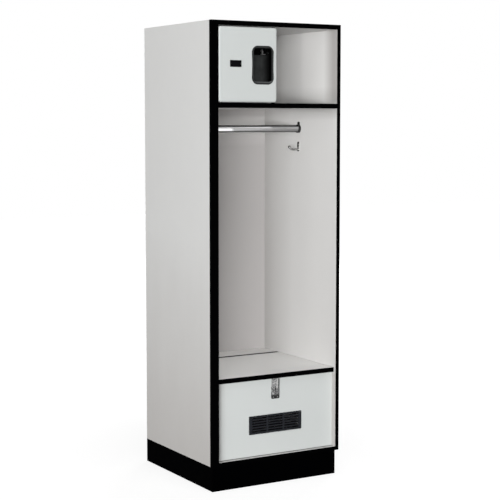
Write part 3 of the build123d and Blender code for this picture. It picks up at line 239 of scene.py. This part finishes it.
class Steps:
    """Builds a node tree step by step."""

    def __init__(self, tree):
        self.nodes = tree.nodes
        self.links = tree.links
        self.nodes.clear()

    def link(self, value, socket):
        """Feeds a socket with another socket or a plain value."""
        if isinstance(value, bpy.types.NodeSocket):
            self.links.new(value, socket)
        else:
            socket.default_value = value

    def ramp(self, value, span, out=WHOLE):
        """Maps one range to another, clamped."""
        node = self.nodes.new("ShaderNodeMapRange")
        self.link(value, node.inputs["Value"])
        node.inputs["From Min"].default_value, node.inputs["From Max"].default_value = span
        node.inputs["To Min"].default_value, node.inputs["To Max"].default_value = out
        return node.outputs[0]

    def math(self, operation, a, b=0.0):
        """One arithmetic step."""
        node = self.nodes.new("ShaderNodeMath")
        node.operation = operation
        self.link(a, node.inputs[0])
        self.link(b, node.inputs[1])
        return node.outputs[0]

    def times(self, a, b):
        """The product of two masks, or a share of one."""
        return self.math("MULTIPLY", a, b)

    def seen_by(self, *kinds):
        """1 for some kinds of rays, 0 for the others."""
        rays = self.nodes.new("ShaderNodeLightPath")
        seen = rays.outputs[f"Is {kinds[0]} Ray"]
        for kind in kinds[1:]:
            seen = self.math("MAXIMUM", seen, rays.outputs[f"Is {kind} Ray"])
        return seen


class Surface(Steps):
    """Builds one procedural material in the object's own coordinates."""

    def __init__(self, name, colour, roughness, metallic=0.0, specular=0.5, ior=1.5):
        self.material = bpy.data.materials.new(name)
        self.material.use_nodes = True
        self.material.diffuse_color = (*colour, 1)
        super().__init__(self.material.node_tree)
        output = self.nodes.new("ShaderNodeOutputMaterial")
        self.shader = self.nodes.new("ShaderNodeBsdfPrincipled")
        self.links.new(self.shader.outputs[0], output.inputs[0])
        self.shader.inputs["Base Color"].default_value = (*colour, 1)
        self.shader.inputs["Roughness"].default_value = roughness
        self.shader.inputs["Metallic"].default_value = metallic
        self.shader.inputs["Specular IOR Level"].default_value = specular
        self.shader.inputs["IOR"].default_value = ior
        coordinates = self.nodes.new("ShaderNodeTexCoord")
        self.place = coordinates.outputs["Object"]
        self.facing = coordinates.outputs["Normal"]

    def stretched(self, scale):
        """The coordinates, stretched along the axes."""
        node = self.nodes.new("ShaderNodeMapping")
        self.links.new(self.place, node.inputs["Vector"])
        node.inputs["Scale"].default_value = scale
        return node.outputs[0]

    def noise(self, scale, detail, stretch=None, roughness=0.5, distortion=0.0):
        """Smooth noise, with its scale in waves per metre."""
        node = self.nodes.new("ShaderNodeTexNoise")
        self.links.new(self.stretched(stretch) if stretch else self.place, node.inputs["Vector"])
        node.inputs["Scale"].default_value = scale
        node.inputs["Detail"].default_value = detail
        node.inputs["Roughness"].default_value = roughness
        node.inputs["Distortion"].default_value = distortion
        return node.outputs["Fac"]

    def patches(self, levels, out=WHOLE, **noise):
        """Smooth noise cut between two levels."""
        return self.ramp(self.noise(**noise), levels, out)

    def swayed(self, value, sway, levels=SOFT, **noise):
        """A value that smooth noise moves a little up and down."""
        return self.math("ADD", value, self.patches(levels, (-sway, sway), **noise))

    def cells(self, scale):
        """Distance to the nearest point of a cell pattern."""
        node = self.nodes.new("ShaderNodeTexVoronoi")
        self.links.new(self.place, node.inputs["Vector"])
        node.inputs["Scale"].default_value = scale
        return node.outputs["Distance"]

    def mix(self, share, a, b):
        """A colour between two colours."""
        node = self.nodes.new("ShaderNodeMix")
        node.data_type = "RGBA"
        self.link(share, node.inputs["Factor"])
        self.link(a if isinstance(a, bpy.types.NodeSocket) else (*a, 1), node.inputs["A"])
        self.link(b if isinstance(b, bpy.types.NodeSocket) else (*b, 1), node.inputs["B"])
        return node.outputs["Result"]

    def mottled(self, colour, dark, light, **noise):
        """A colour that fine noise makes darker and lighter by two factors."""
        return self.mix(self.patches(EVEN, **noise), shade(colour, dark), shade(colour, light))

    def axis(self, name, vector=None):
        """One coordinate of the place, or of another vector."""
        node = self.nodes.new("ShaderNodeSeparateXYZ")
        self.links.new(vector or self.place, node.inputs[0])
        return node.outputs[name]

    def zone(self, name, low, high, blur):
        """1 between two places along an axis, fading to 0 outside them."""
        place = self.axis(name)
        rise = self.ramp(place, (low - blur, low + blur))
        fall = self.ramp(place, (high - blur, high + blur), INVERSE)
        return self.times(rise, fall)

    def distance(self, point):
        """Distance of the place from a point."""
        node = self.nodes.new("ShaderNodeVectorMath")
        node.operation = "DISTANCE"
        self.links.new(self.place, node.inputs[0])
        node.inputs[1].default_value = point
        return node.outputs["Value"]

    def feed(self, name, socket):
        """Feeds one of the shader's inputs with a socket."""
        self.links.new(socket, self.shader.inputs[name])

    def bump(self, socket, height, strength):
        """Gives the surface a bump of a real height."""
        node = self.nodes.new("ShaderNodeBump")
        node.inputs["Strength"].default_value = strength
        node.inputs["Distance"].default_value = height
        self.links.new(socket, node.inputs["Height"])
        self.feed("Normal", node.outputs[0])

    def plating(self, low, high):
        """Uneven gloss and fine scratches of plated metal."""
        self.feed("Roughness", self.patches(WIDE, (low, high), scale=120, detail=5))
        self.bump(self.noise(scale=2500, detail=2), PLATING_GRAIN, strength=0.6)

    def blotches(self, scale):
        """Dark blotches of old plating."""
        return self.patches(BLOTCHED, scale=scale, detail=4, roughness=0.55, distortion=0.4)


def shade(colour, factor):
    """A colour made lighter or darker."""
    return tuple(min(1.0, c * factor) for c in colour)


# Marks on the laminate, most of them painted shade and painted light: each function gives a mask and the
# colour of the mark

def floor_shade(tree):
    """Painted shade: the end panel darker towards the floor."""
    height = tree.swayed(tree.axis("Z"), FLOOR_SHADE_SWAY, CLOUDY, scale=6, detail=5, stretch=(1, 1, 0.4))
    return tree.ramp(height, FLOOR_SHADE_HEIGHTS), FLOOR_SHADE_GREY


def inner_right(tree, share):
    """A share, kept to the inner face of the right side panel."""
    skin = tree.ramp(tree.axis("X"), (right_low[X] + BOARD_SKIN, right_low[X] + BOARD_SKIN / 2))
    return tree.times(share, skin)


def below_seat_grey(tree):
    """Right wall darker below the seat."""
    return inner_right(tree, tree.zone("Z", 0.0, seat_low[Z], BOARD_BLUR)), BELOW_SEAT_GREY


def back_shade_and_band(tree):
    """Painted shade on the inner face of the back panel, left out in a band below the shelf as painted
    light that evens out the shadow of shelf and rod.
    """
    skin = tree.ramp(tree.axis("Y"), (back_face + BOARD_SKIN, back_face + BOARD_SKIN / 2))
    below_band_top = tree.ramp(tree.axis("Z"), LIGHT_BAND_TOP)
    above_band_bottom = tree.ramp(tree.axis("Z"), LIGHT_BAND_BOTTOM)
    shaded = tree.ramp(tree.times(below_band_top, above_band_bottom), WHOLE, INVERSE)
    return tree.times(skin, shaded), BACK_PAINTED_SHADE


def shelf_shade(tree):
    """Painted shade on the right wall that thickens towards the shelf, from above and from below."""
    above = tree.ramp(tree.axis("Z"), SHADE_ON_SHELF, out=(0.0, 0.44))
    nearer = tree.ramp(tree.axis("Y"), SHADE_UNDER_DEPTHS, out=(0.12, 0.46))
    below = tree.times(tree.ramp(tree.axis("Z"), SHADE_UNDER_SHELF), nearer)
    span = (SHELF_MIDDLE - SHELF_BLUR, SHELF_MIDDLE + SHELF_BLUR)
    upper = tree.ramp(tree.axis("Z"), span)
    lower = tree.ramp(tree.axis("Z"), span, INVERSE)
    both = tree.math("ADD", tree.times(above, upper), tree.times(below, lower))
    return inner_right(tree, both), SHELF_SHADE_GREY


def corner_shade(tree):
    """Painted shade in the hanging space, thicker towards the back corner and towards the seat."""
    below = tree.zone("Z", seat_high[Z], shelf_bottom, BOARD_BLUR)
    deep = tree.ramp(tree.axis("Y"), SHADE_CORNER_DEPTHS, out=(0.0, 0.55))
    low = tree.ramp(tree.axis("Z"), SHADE_SEAT_HEIGHTS, out=(0.0, 0.16))
    return inner_right(tree, tree.times(below, tree.math("ADD", deep, low))), PAINTED_SHADE_GREY


def cubby_light(tree):
    """Painted light on the wall of the open cubby, strongest at the back."""
    above = tree.zone("Z", shelf_top, shelf_top + BEYOND, BOARD_BLUR)
    deep = tree.ramp(tree.axis("Y"), CUBBY_LIGHT_DEPTHS, out=(0.19, 1.0))
    return inner_right(tree, tree.times(above, deep)), CUBBY_LIGHT


def cubby_front_shade(tree):
    """Painted shade on the wall of the open cubby, towards its front edge."""
    above = tree.zone("Z", shelf_top, shelf_top + BEYOND, BOARD_BLUR)
    return inner_right(tree, tree.times(above, tree.ramp(tree.axis("Y"), CUBBY_SHADE_DEPTHS))), CUBBY_FRONT_SHADE


def upper_face(tree, share):
    """A share, kept to the top face of the seat lid."""
    skin = tree.ramp(tree.axis("Z"), (seat_high[Z] - BOARD_SKIN, seat_high[Z] - BOARD_SKIN / 2))
    return tree.times(share, skin)


def seat_top_light(tree):
    """Painted light: the seat's top face lighter than the rest of the lid."""
    return upper_face(tree, 1.0), SEAT_TOP_LIGHT


def seat_left_light(tree):
    """Painted light on the seat's top face, stronger towards its left side."""
    return upper_face(tree, tree.ramp(tree.axis("X"), SEAT_LIGHT_SIDES)), SEAT_LEFT_LIGHT


def foot_left_shadow(tree):
    """Painted shadow beside the left edge of the foot locker's front."""
    return tree.ramp(tree.axis("X"), FOOT_SHADOW_SIDES, out=(0.0, 0.7)), PAINTED_SHADE_GREY


def seam_shade(low, high, blur=SEAM_BLUR):
    """Painted shade along a joint that runs across the locker."""
    return lambda tree: (tree.times(tree.zone("Y", low, high, blur), 0.85), SEAM_SHADE_GREY)


# Materials

def laminate(name, colour, *marks):
    """Satin laminate: fine speckle, faint cloudiness, slight scuffs and, where given, marks, most of them
    painted shade and painted light.
    """
    tree = Surface(name, colour, roughness=0.44, specular=0.3)
    base = tree.mottled(colour, dark=0.975, light=1.02, scale=1400, detail=3)
    cloud = tree.patches(SOFT, scale=5, detail=3)
    tinted = tree.mix(tree.times(cloud, 0.5), base, shade(colour, 0.955))
    scuff = tree.patches(SCUFFED, scale=60, detail=6, stretch=(1, 1, 0.12),
                         roughness=0.65, distortion=0.6)
    surface = tree.mix(tree.times(scuff, 0.25), tinted, shade(colour, 0.86))
    for mark in marks:
        mask, dirt = mark(tree)
        surface = tree.mix(mask, surface, dirt)
    tree.feed("Base Color", surface)
    tree.feed("Roughness", tree.patches(SOFT, SATIN, scale=35, detail=4))
    tree.bump(tree.noise(scale=900, detail=2), FINE_GRAIN, strength=0.4)
    return tree.material


def black_edge(name, colour):
    """Deep black edge banding: fine grain, with small rubs where it is touched."""
    tree = Surface(name, colour, roughness=0.6, specular=0.05, ior=1.06)
    grain = tree.patches(SOFT, scale=900, detail=4, stretch=(1, 1, 0.35))
    base = tree.mix(grain, shade(colour, 0.5), shade(colour, 1.7))
    rub_and_highlight = tree.patches(RUBBED, scale=70, detail=7, stretch=(1, 1, 0.3),
                       roughness=0.7, distortion=0.5)
    tree.feed("Base Color", tree.mix(tree.times(rub_and_highlight, 0.25), base, EDGING_RUB))
    tree.feed("Roughness", tree.patches(SOFT, DULL, scale=50, detail=4))
    tree.bump(tree.noise(scale=1100, detail=2), EDGE_GRAIN, strength=0.5)
    return tree.material


def bare_wood(name, colour):
    """Planed hardwood with lengthwise grain."""
    tree = Surface(name, colour, roughness=0.62, specular=0.3)
    grain = tree.patches(WIDE, scale=160, detail=5, stretch=(1, 0.08, 1),
                         roughness=0.6, distortion=0.8)
    pores = tree.patches(PORES, scale=700, detail=3, stretch=(1, 0.05, 1))
    base = tree.mix(grain, shade(colour, 0.78), shade(colour, 1.12))
    tree.feed("Base Color", tree.mix(tree.times(pores, 0.5), base, shade(colour, 0.5)))
    tree.bump(grain, WOOD_GRAIN, strength=0.4)
    return tree.material


def metal(name, colour, low, high):
    """Plated metal with faint stains."""
    tree = Surface(name, colour, (low + high) / 2, metallic=1.0)
    stain = tree.patches(STAINED, scale=45, detail=5)
    tree.feed("Base Color", tree.mix(stain, colour, shade(colour, 0.82)))
    tree.plating(low, high)
    return tree.material


def plastic(name, colour, specular, ior):
    """Moulded plastic or powder coat with a fine grain and patches of dust."""
    tree = Surface(name, colour, roughness=0.5, specular=specular, ior=ior)
    base = tree.mottled(colour, dark=0.8, light=1.25, scale=1300, detail=3)
    dust_and_painted_light = tree.patches(DUSTY, scale=70, detail=6, roughness=0.65)
    tree.feed("Base Color", tree.mix(tree.times(dust_and_painted_light, 0.3), base, shade(colour, 2.2)))
    tree.feed("Roughness", tree.patches(SOFT, MOULDED, scale=80, detail=4))
    tree.bump(tree.cells(scale=1600), MOULD_GRAIN, strength=0.6)
    return tree.material


def louvres(name, colour, slot_shade):
    """Black vent whose slots are painted darker with depth behind its face, as painted shade."""
    tree = Surface(name, colour, roughness=0.5, specular=0.1, ior=1.3)
    depth = tree.ramp(tree.axis("Y"), LOUVRE_DEPTHS)
    bars = tree.mottled(colour, dark=0.88, light=1.12, scale=1300, detail=3)
    tree.feed("Base Color", tree.mix(depth, bars, slot_shade))
    tree.feed("Roughness", tree.patches(SOFT, MOULDED, scale=80, detail=4))
    tree.bump(tree.cells(scale=1600), FINE_GRAIN, strength=0.4)
    return tree.material


def rod_chrome(name, colour):
    """Bright tube with a painted reflection: white at its left end, lighter and less metallic on top,
    greyer to the right, dark lines along its top and bottom.
    """
    tree = Surface(name, colour, roughness=0.1, metallic=1.0)
    slope = tree.swayed(tree.axis("Z", tree.facing), ROD_SWAY, scale=60, detail=5, stretch=(0.05, 1, 1))
    place = tree.math("ADD", tree.axis("X"), tree.times(slope, ROD_SLANT))
    dust_and_painted_light = tree.ramp(slope, ROD_LIT_UPPER)
    middle_reflection = tree.mix(dust_and_painted_light, shade(colour, 0.42), shade(colour, 0.85))
    right_reflection = tree.mix(dust_and_painted_light, shade(colour, 0.36), shade(colour, 0.4))
    left = tree.mix(tree.ramp(place, ROD_WHITE_END), colour, middle_reflection)
    body = tree.mix(tree.ramp(place, ROD_GREY_RIGHT), left, right_reflection)
    bottom = tree.ramp(slope, ROD_BOTTOM)
    crown = tree.ramp(slope, ROD_CROWN)
    lined = tree.mix(bottom, body, shade(colour, 0.1))
    tree.feed("Base Color", tree.mix(crown, lined, shade(colour, 0.01)))
    clear = tree.ramp(tree.math("MAXIMUM", bottom, crown), WHOLE, INVERSE)
    tree.feed("Metallic", tree.times(tree.ramp(dust_and_painted_light, WHOLE, out=(1.0, 0.4)), clear))
    tree.feed("Specular IOR Level", tree.times(clear, 0.5))
    tree.feed("Roughness", tree.patches(SOFT, POLISH, scale=90, detail=4, stretch=(0.1, 1, 1)))
    tree.bump(tree.noise(scale=2500, detail=2, stretch=(0.1, 1, 1)), ROD_GRAIN, strength=0.5)
    return tree.material


def tarnished(name, colour, dark, scale, low, high, metallic=1.0, specular=0.5):
    """Old plating with dark blotches between brighter rubbed places."""
    tree = Surface(name, colour, (low + high) / 2, metallic, specular)
    tree.feed("Base Color", tree.mix(tree.blotches(scale), dark, colour))
    tree.plating(low, high)
    return tree.material


def banded_steel(name, colour, dark):
    """Old hasp plating: blotched, with a painted highlight along one line, painted shade along its right
    side, and darker at its lowest part.
    """
    tree = Surface(name, colour, roughness=0.35, metallic=1.0)
    plated = tree.mix(tree.blotches(scale=130), dark, colour)
    line = tree.zone("X", STRAP_HIGHLIGHT_LEFT, STRAP_HIGHLIGHT_RIGHT, STRAP_BLUR)
    rub_and_highlight = tree.times(line, tree.ramp(tree.axis("Z"), STRAP_HIGHLIGHT_HEIGHTS))
    edge = tree.zone("X", STRAP_SHADE_EDGE, STRAP_SHADE_EDGE + BEYOND, STRAP_BLUR)
    edged = tree.mix(tree.times(edge, 0.75), tree.mix(rub_and_highlight, plated, STRAP_HIGHLIGHT), dark)
    darker_low = tree.ramp(tree.swayed(tree.axis("Z"), STRAP_LOW_SWAY, scale=220, detail=3), STRAP_LOW_HEIGHTS)
    tree.feed("Base Color", tree.mix(darker_low, edged, shade(dark, 0.5)))
    tree.plating(low=0.28, high=0.42)
    return tree.material


def latch_steel(name, colour, bright):
    """Dark coated steel, worn bright on the padlock eyes that stand in the pocket."""
    tree = Surface(name, colour, roughness=0.4, specular=0.03, ior=1.1)
    ragged = tree.swayed(tree.axis("Y"), EYE_WEAR_SWAY, WHOLE, scale=300, detail=4)
    worn = tree.ramp(ragged, EYE_WEAR_DEPTHS, INVERSE)
    grain = tree.patches(EVEN, scale=800, detail=4)
    dark = tree.mix(grain, shade(colour, 0.7), shade(colour, 1.4))
    tree.feed("Base Color", tree.mix(worn, dark, bright))
    tree.feed("Metallic", tree.times(worn, 0.9))
    tree.feed("Roughness", tree.patches(SOFT, COATING, scale=120, detail=4))
    tree.bump(grain, FINE_GRAIN, strength=0.5)
    return tree.material


def pocket_plastic(name, rim, well, painted_shade):
    """Moulded pocket: satin rim, painted highlight on the lower bevel, painted shade on the side walls and
    under faces, and a greyed floor with painted shade at its top and right side.
    """
    tree = Surface(name, rim, roughness=0.5, specular=0.06, ior=1.2)
    front = tree.math("ABSOLUTE", tree.axis("Y", tree.facing))
    upward = tree.axis("Z", tree.facing)
    side_wall = tree.ramp(front, WALL_FACING)
    bevel = tree.times(tree.ramp(front, BEVEL_FACING), tree.ramp(upward, BEVEL_UPWARD))
    under = tree.times(tree.ramp(front, UNDER_FACING), tree.ramp(upward, UNDER_DOWNWARD))
    rim_shade = tree.mottled(rim, dark=0.85, light=1.2, scale=1300, detail=3)
    worn = tree.mottled(well, dark=0.8, light=1.15, scale=40, detail=4)
    right_shade = tree.ramp(tree.axis("X"), WELL_SHADE_SIDES, out=(0.0, 0.9))
    top_shade = tree.ramp(tree.swayed(tree.axis("Z"), WELL_SWAY, scale=60, detail=3), WELL_SHADE_HEIGHTS)
    floor = tree.mix(tree.math("MAXIMUM", right_shade, top_shade), worn, painted_shade)
    inner = tree.mix(tree.ramp(tree.axis("Y"), WELL_DEPTHS), rim_shade, floor)
    highlighted = tree.mix(bevel, tree.mix(under, inner, painted_shade), BEVEL_PAINTED_HIGHLIGHT)
    tree.feed("Base Color", tree.mix(side_wall, highlighted, painted_shade))
    tree.feed("Roughness", tree.patches(SOFT, MOULDED, scale=80, detail=4))
    tree.bump(tree.cells(scale=1600), MOULD_GRAIN, strength=0.6)
    return tree.material


def worn_hook(name, colour, dark, black_colour):
    """Nickel hook: bright plate with black spots about its screws, tarnished arm and ball, and a painted
    reflection: the ball's rim black.
    """
    tree = Surface(name, colour, roughness=0.2, metallic=1.0)
    reach = tree.axis("X")
    blotch = tree.patches(FINE_BLOTCHED, scale=330, detail=3, roughness=0.55, distortion=0.4)
    plated = tree.mix(tree.times(tree.ramp(reach, HOOK_ARM), blotch), colour, dark)
    front = tree.times(tree.axis("Y", tree.facing), -1.0)
    ball_rim = tree.times(tree.ramp(front, BALL_RIM_FACING), tree.ramp(reach, HOOK_BALL))
    blackened = tree.times(ball_rim, 0.8)
    for height in SPOT_HEIGHTS:
        distance = tree.distance((hook_high[X], HOOK_CENTRE, height))
        spot = tree.ramp(distance, (SPOT_RADIUS, SPOT_RADIUS - SPOT_BLUR))
        blackened = tree.math("MAXIMUM", blackened, spot)
    tree.feed("Base Color", tree.mix(blackened, plated, black_colour))
    tree.feed("Metallic", tree.ramp(blackened, WHOLE, INVERSE))
    tree.feed("Specular IOR Level", tree.ramp(blackened, WHOLE, out=(0.5, 0.0)))
    tree.plating(low=0.14, high=0.26)
    return tree.material


def dark_socket(name):
    """Rod socket, tarnished nearly black."""
    return tarnished(name, SOCKET, SOCKET_DARK, SOCKET_BLOTCHES, *COATING, metallic=0.2, specular=0.05)


# Looks by material slot, and looks of single pieces that go before them

slot_looks = {
    "light_laminate": laminate("light_laminate", LAMINATE),
    "door_laminate": laminate("door_laminate", DOOR_LAMINATE),
    "black_edging": black_edge("black_edging", EDGING),
    "black_laminate": black_edge("black_laminate", BASE_BLACK),
    "bare_wood": bare_wood("bare_wood", WOOD),
    "chrome": rod_chrome("chrome", CHROME),
    "plated_steel": tarnished("plated_steel", PLATED, PLATED_DARK, scale=110, low=0.25, high=0.4),
    "staple_steel": banded_steel("staple_steel", STAPLE, STAPLE_DARK),
    "screw_steel": metal("screw_steel", SCREW, *COATING),
    "black_screws": metal("black_screws", BLACK_SCREW, *COATING),
    "black_steel": plastic("black_steel", COATED, specular=0.02, ior=1.06),
    "latch_steel": latch_steel("latch_steel", COATED, EYE),
    "black_plastic": plastic("black_plastic", PLASTIC, specular=0.05, ior=1.2),
    "pocket_plastic": pocket_plastic("pocket_plastic", RIM, WELL, WELL_PAINTED_SHADE),
}
own_looks = {
    "left_end_panel": laminate("end_laminate", END_LAMINATE, floor_shade),
    "right_side_panel": laminate("right_laminate", LAMINATE,
                                 below_seat_grey, corner_shade, cubby_light, cubby_front_shade, shelf_shade),
    "back_panel": laminate("back_laminate", BACK_LAMINATE, back_shade_and_band),
    "foot_front_panel": laminate("foot_laminate", FOOT_LAMINATE, foot_left_shadow),
    "bottom_panel": laminate("bottom_laminate", BOTTOM_LAMINATE,
                             seam_shade(foot_low[Y] - FOOT_SEAM_WIDTH, foot_high[Y], FOOT_SEAM_BLUR)),
    "seat_lid": laminate("seat_laminate", SEAT_LAMINATE, seat_top_light, seat_left_light,
                         seam_shade(seat_high[Y] - SEAM_WIDTH, seat_high[Y] + BEYOND)),
    "seat_rear_strip": laminate("strip_laminate", STRIP_LAMINATE,
                                seam_shade(strip_front - BEYOND, strip_front + SEAM_WIDTH)),
    "hasp_strap": banded_steel("strap_steel", PLATED, PLATED_DARK),
    "vent_grille": louvres("vent_black", LOUVRE, LOUVRE_SLOT_SHADE),
    "rod_socket_right": dark_socket("socket_dark"),
    "rod_socket_left": dark_socket("socket_dark_left"),
    "coat_hook": worn_hook("hook_nickel", HOOK, HOOK_DARK, HOOK_BLACK),
}
for part in frame["record"]["subparts"]:
    name = part["node"]
    look = own_looks[name] if name in own_looks else slot_looks[part["material_slot"]]
    for slot in nodes[name].material_slots:
        slot.material = look


def place_camera():
    """Camera at the photograph's viewing angle, with a lens given in pixels."""
    data = bpy.data.cameras.new("camera")
    data.sensor_width = SENSOR_MM
    data.lens = LENS_PX / FRAME_PX * SENSOR_MM
    data.shift_y = SHIFT_Y
    data.clip_start = CLIP_NEAR
    data.clip_end = CLIP_FAR
    camera = bpy.data.objects.new("camera", data)
    bpy.context.scene.collection.objects.link(camera)
    camera.location = CAMERA_PLACE
    level = math.cos(TILT)
    aim = Vector((math.sin(HEADING) * level, math.cos(HEADING) * level, -math.sin(TILT)))
    camera.rotation_euler = aim.to_track_quat("-Z", "Y").to_euler()
    bpy.context.scene.camera = camera


def floor_white():
    """White floor that still takes the object's soft shadow."""
    material = bpy.data.materials.new("floor_white")
    material.use_nodes = True
    tree = Steps(material.node_tree)
    output = tree.nodes.new("ShaderNodeOutputMaterial")
    diffuse = tree.nodes.new("ShaderNodeBsdfDiffuse")
    diffuse.inputs["Color"].default_value = (FLOOR_GREY, FLOOR_GREY, FLOOR_GREY, 1)
    distance = tree.nodes.new("ShaderNodeVectorMath")
    distance.operation = "LENGTH"
    tree.links.new(tree.nodes.new("ShaderNodeTexCoord").outputs["Object"], distance.inputs[0])
    spread = tree.ramp(distance.outputs["Value"], (NEAR_FLOOR, FAR_FLOOR), (NEAR_GLOW, 1.0))
    glow = tree.nodes.new("ShaderNodeEmission")
    tree.links.new(tree.times(tree.seen_by("Camera", "Glossy"), spread), glow.inputs["Strength"])
    both = tree.nodes.new("ShaderNodeAddShader")
    tree.links.new(diffuse.outputs[0], both.inputs[0])
    tree.links.new(glow.outputs[0], both.inputs[1])
    tree.links.new(both.outputs[0], output.inputs[0])
    return material


def lay_floor():
    """Square floor under the locker."""
    corners = [(-FLOOR_REACH, -FLOOR_REACH, 0), (FLOOR_REACH, -FLOOR_REACH, 0),
               (FLOOR_REACH, FLOOR_REACH, 0), (-FLOOR_REACH, FLOOR_REACH, 0)]
    mesh = bpy.data.meshes.new("floor")
    mesh.from_pydata(corners, [], [(0, 1, 2, 3)])
    mesh.materials.append(floor_white())
    floor = bpy.data.objects.new("floor", mesh)
    bpy.context.scene.collection.objects.link(floor)


def light_world():
    """Studio that looks white but lights the object only softly."""
    world = bpy.data.worlds.new("studio")
    bpy.context.scene.world = world
    world.use_nodes = True
    tree = Steps(world.node_tree)
    output = tree.nodes.new("ShaderNodeOutputWorld")
    choose = tree.nodes.new("ShaderNodeMixShader")
    tree.links.new(tree.seen_by("Camera", "Glossy", "Transmission"), choose.inputs[0])
    for strength, socket in zip((SOFT_SKY, WHITE_SKY), choose.inputs[1:]):
        sky = tree.nodes.new("ShaderNodeBackground")
        sky.inputs["Color"].default_value = WHITE
        sky.inputs["Strength"].default_value = strength
        tree.links.new(sky.outputs[0], socket)
    tree.links.new(choose.outputs[0], output.inputs[0])


def hang_lamp(name, place, target, size, power):
    """Soft rectangular lamp aimed at a point."""
    data = bpy.data.lights.new(name, "AREA")
    data.shape = "RECTANGLE"
    data.size, data.size_y = size
    data.energy = power
    light = bpy.data.objects.new(name, data)
    bpy.context.scene.collection.objects.link(light)
    light.location = place
    light.rotation_euler = (Vector(target) - Vector(place)).to_track_quat("-Z", "Y").to_euler()


place_camera()
bpy.context.scene.view_settings.view_transform = "Standard"
lay_floor()
light_world()
for name, lamp in LAMPS.items():
    hang_lamp(name, **lamp)
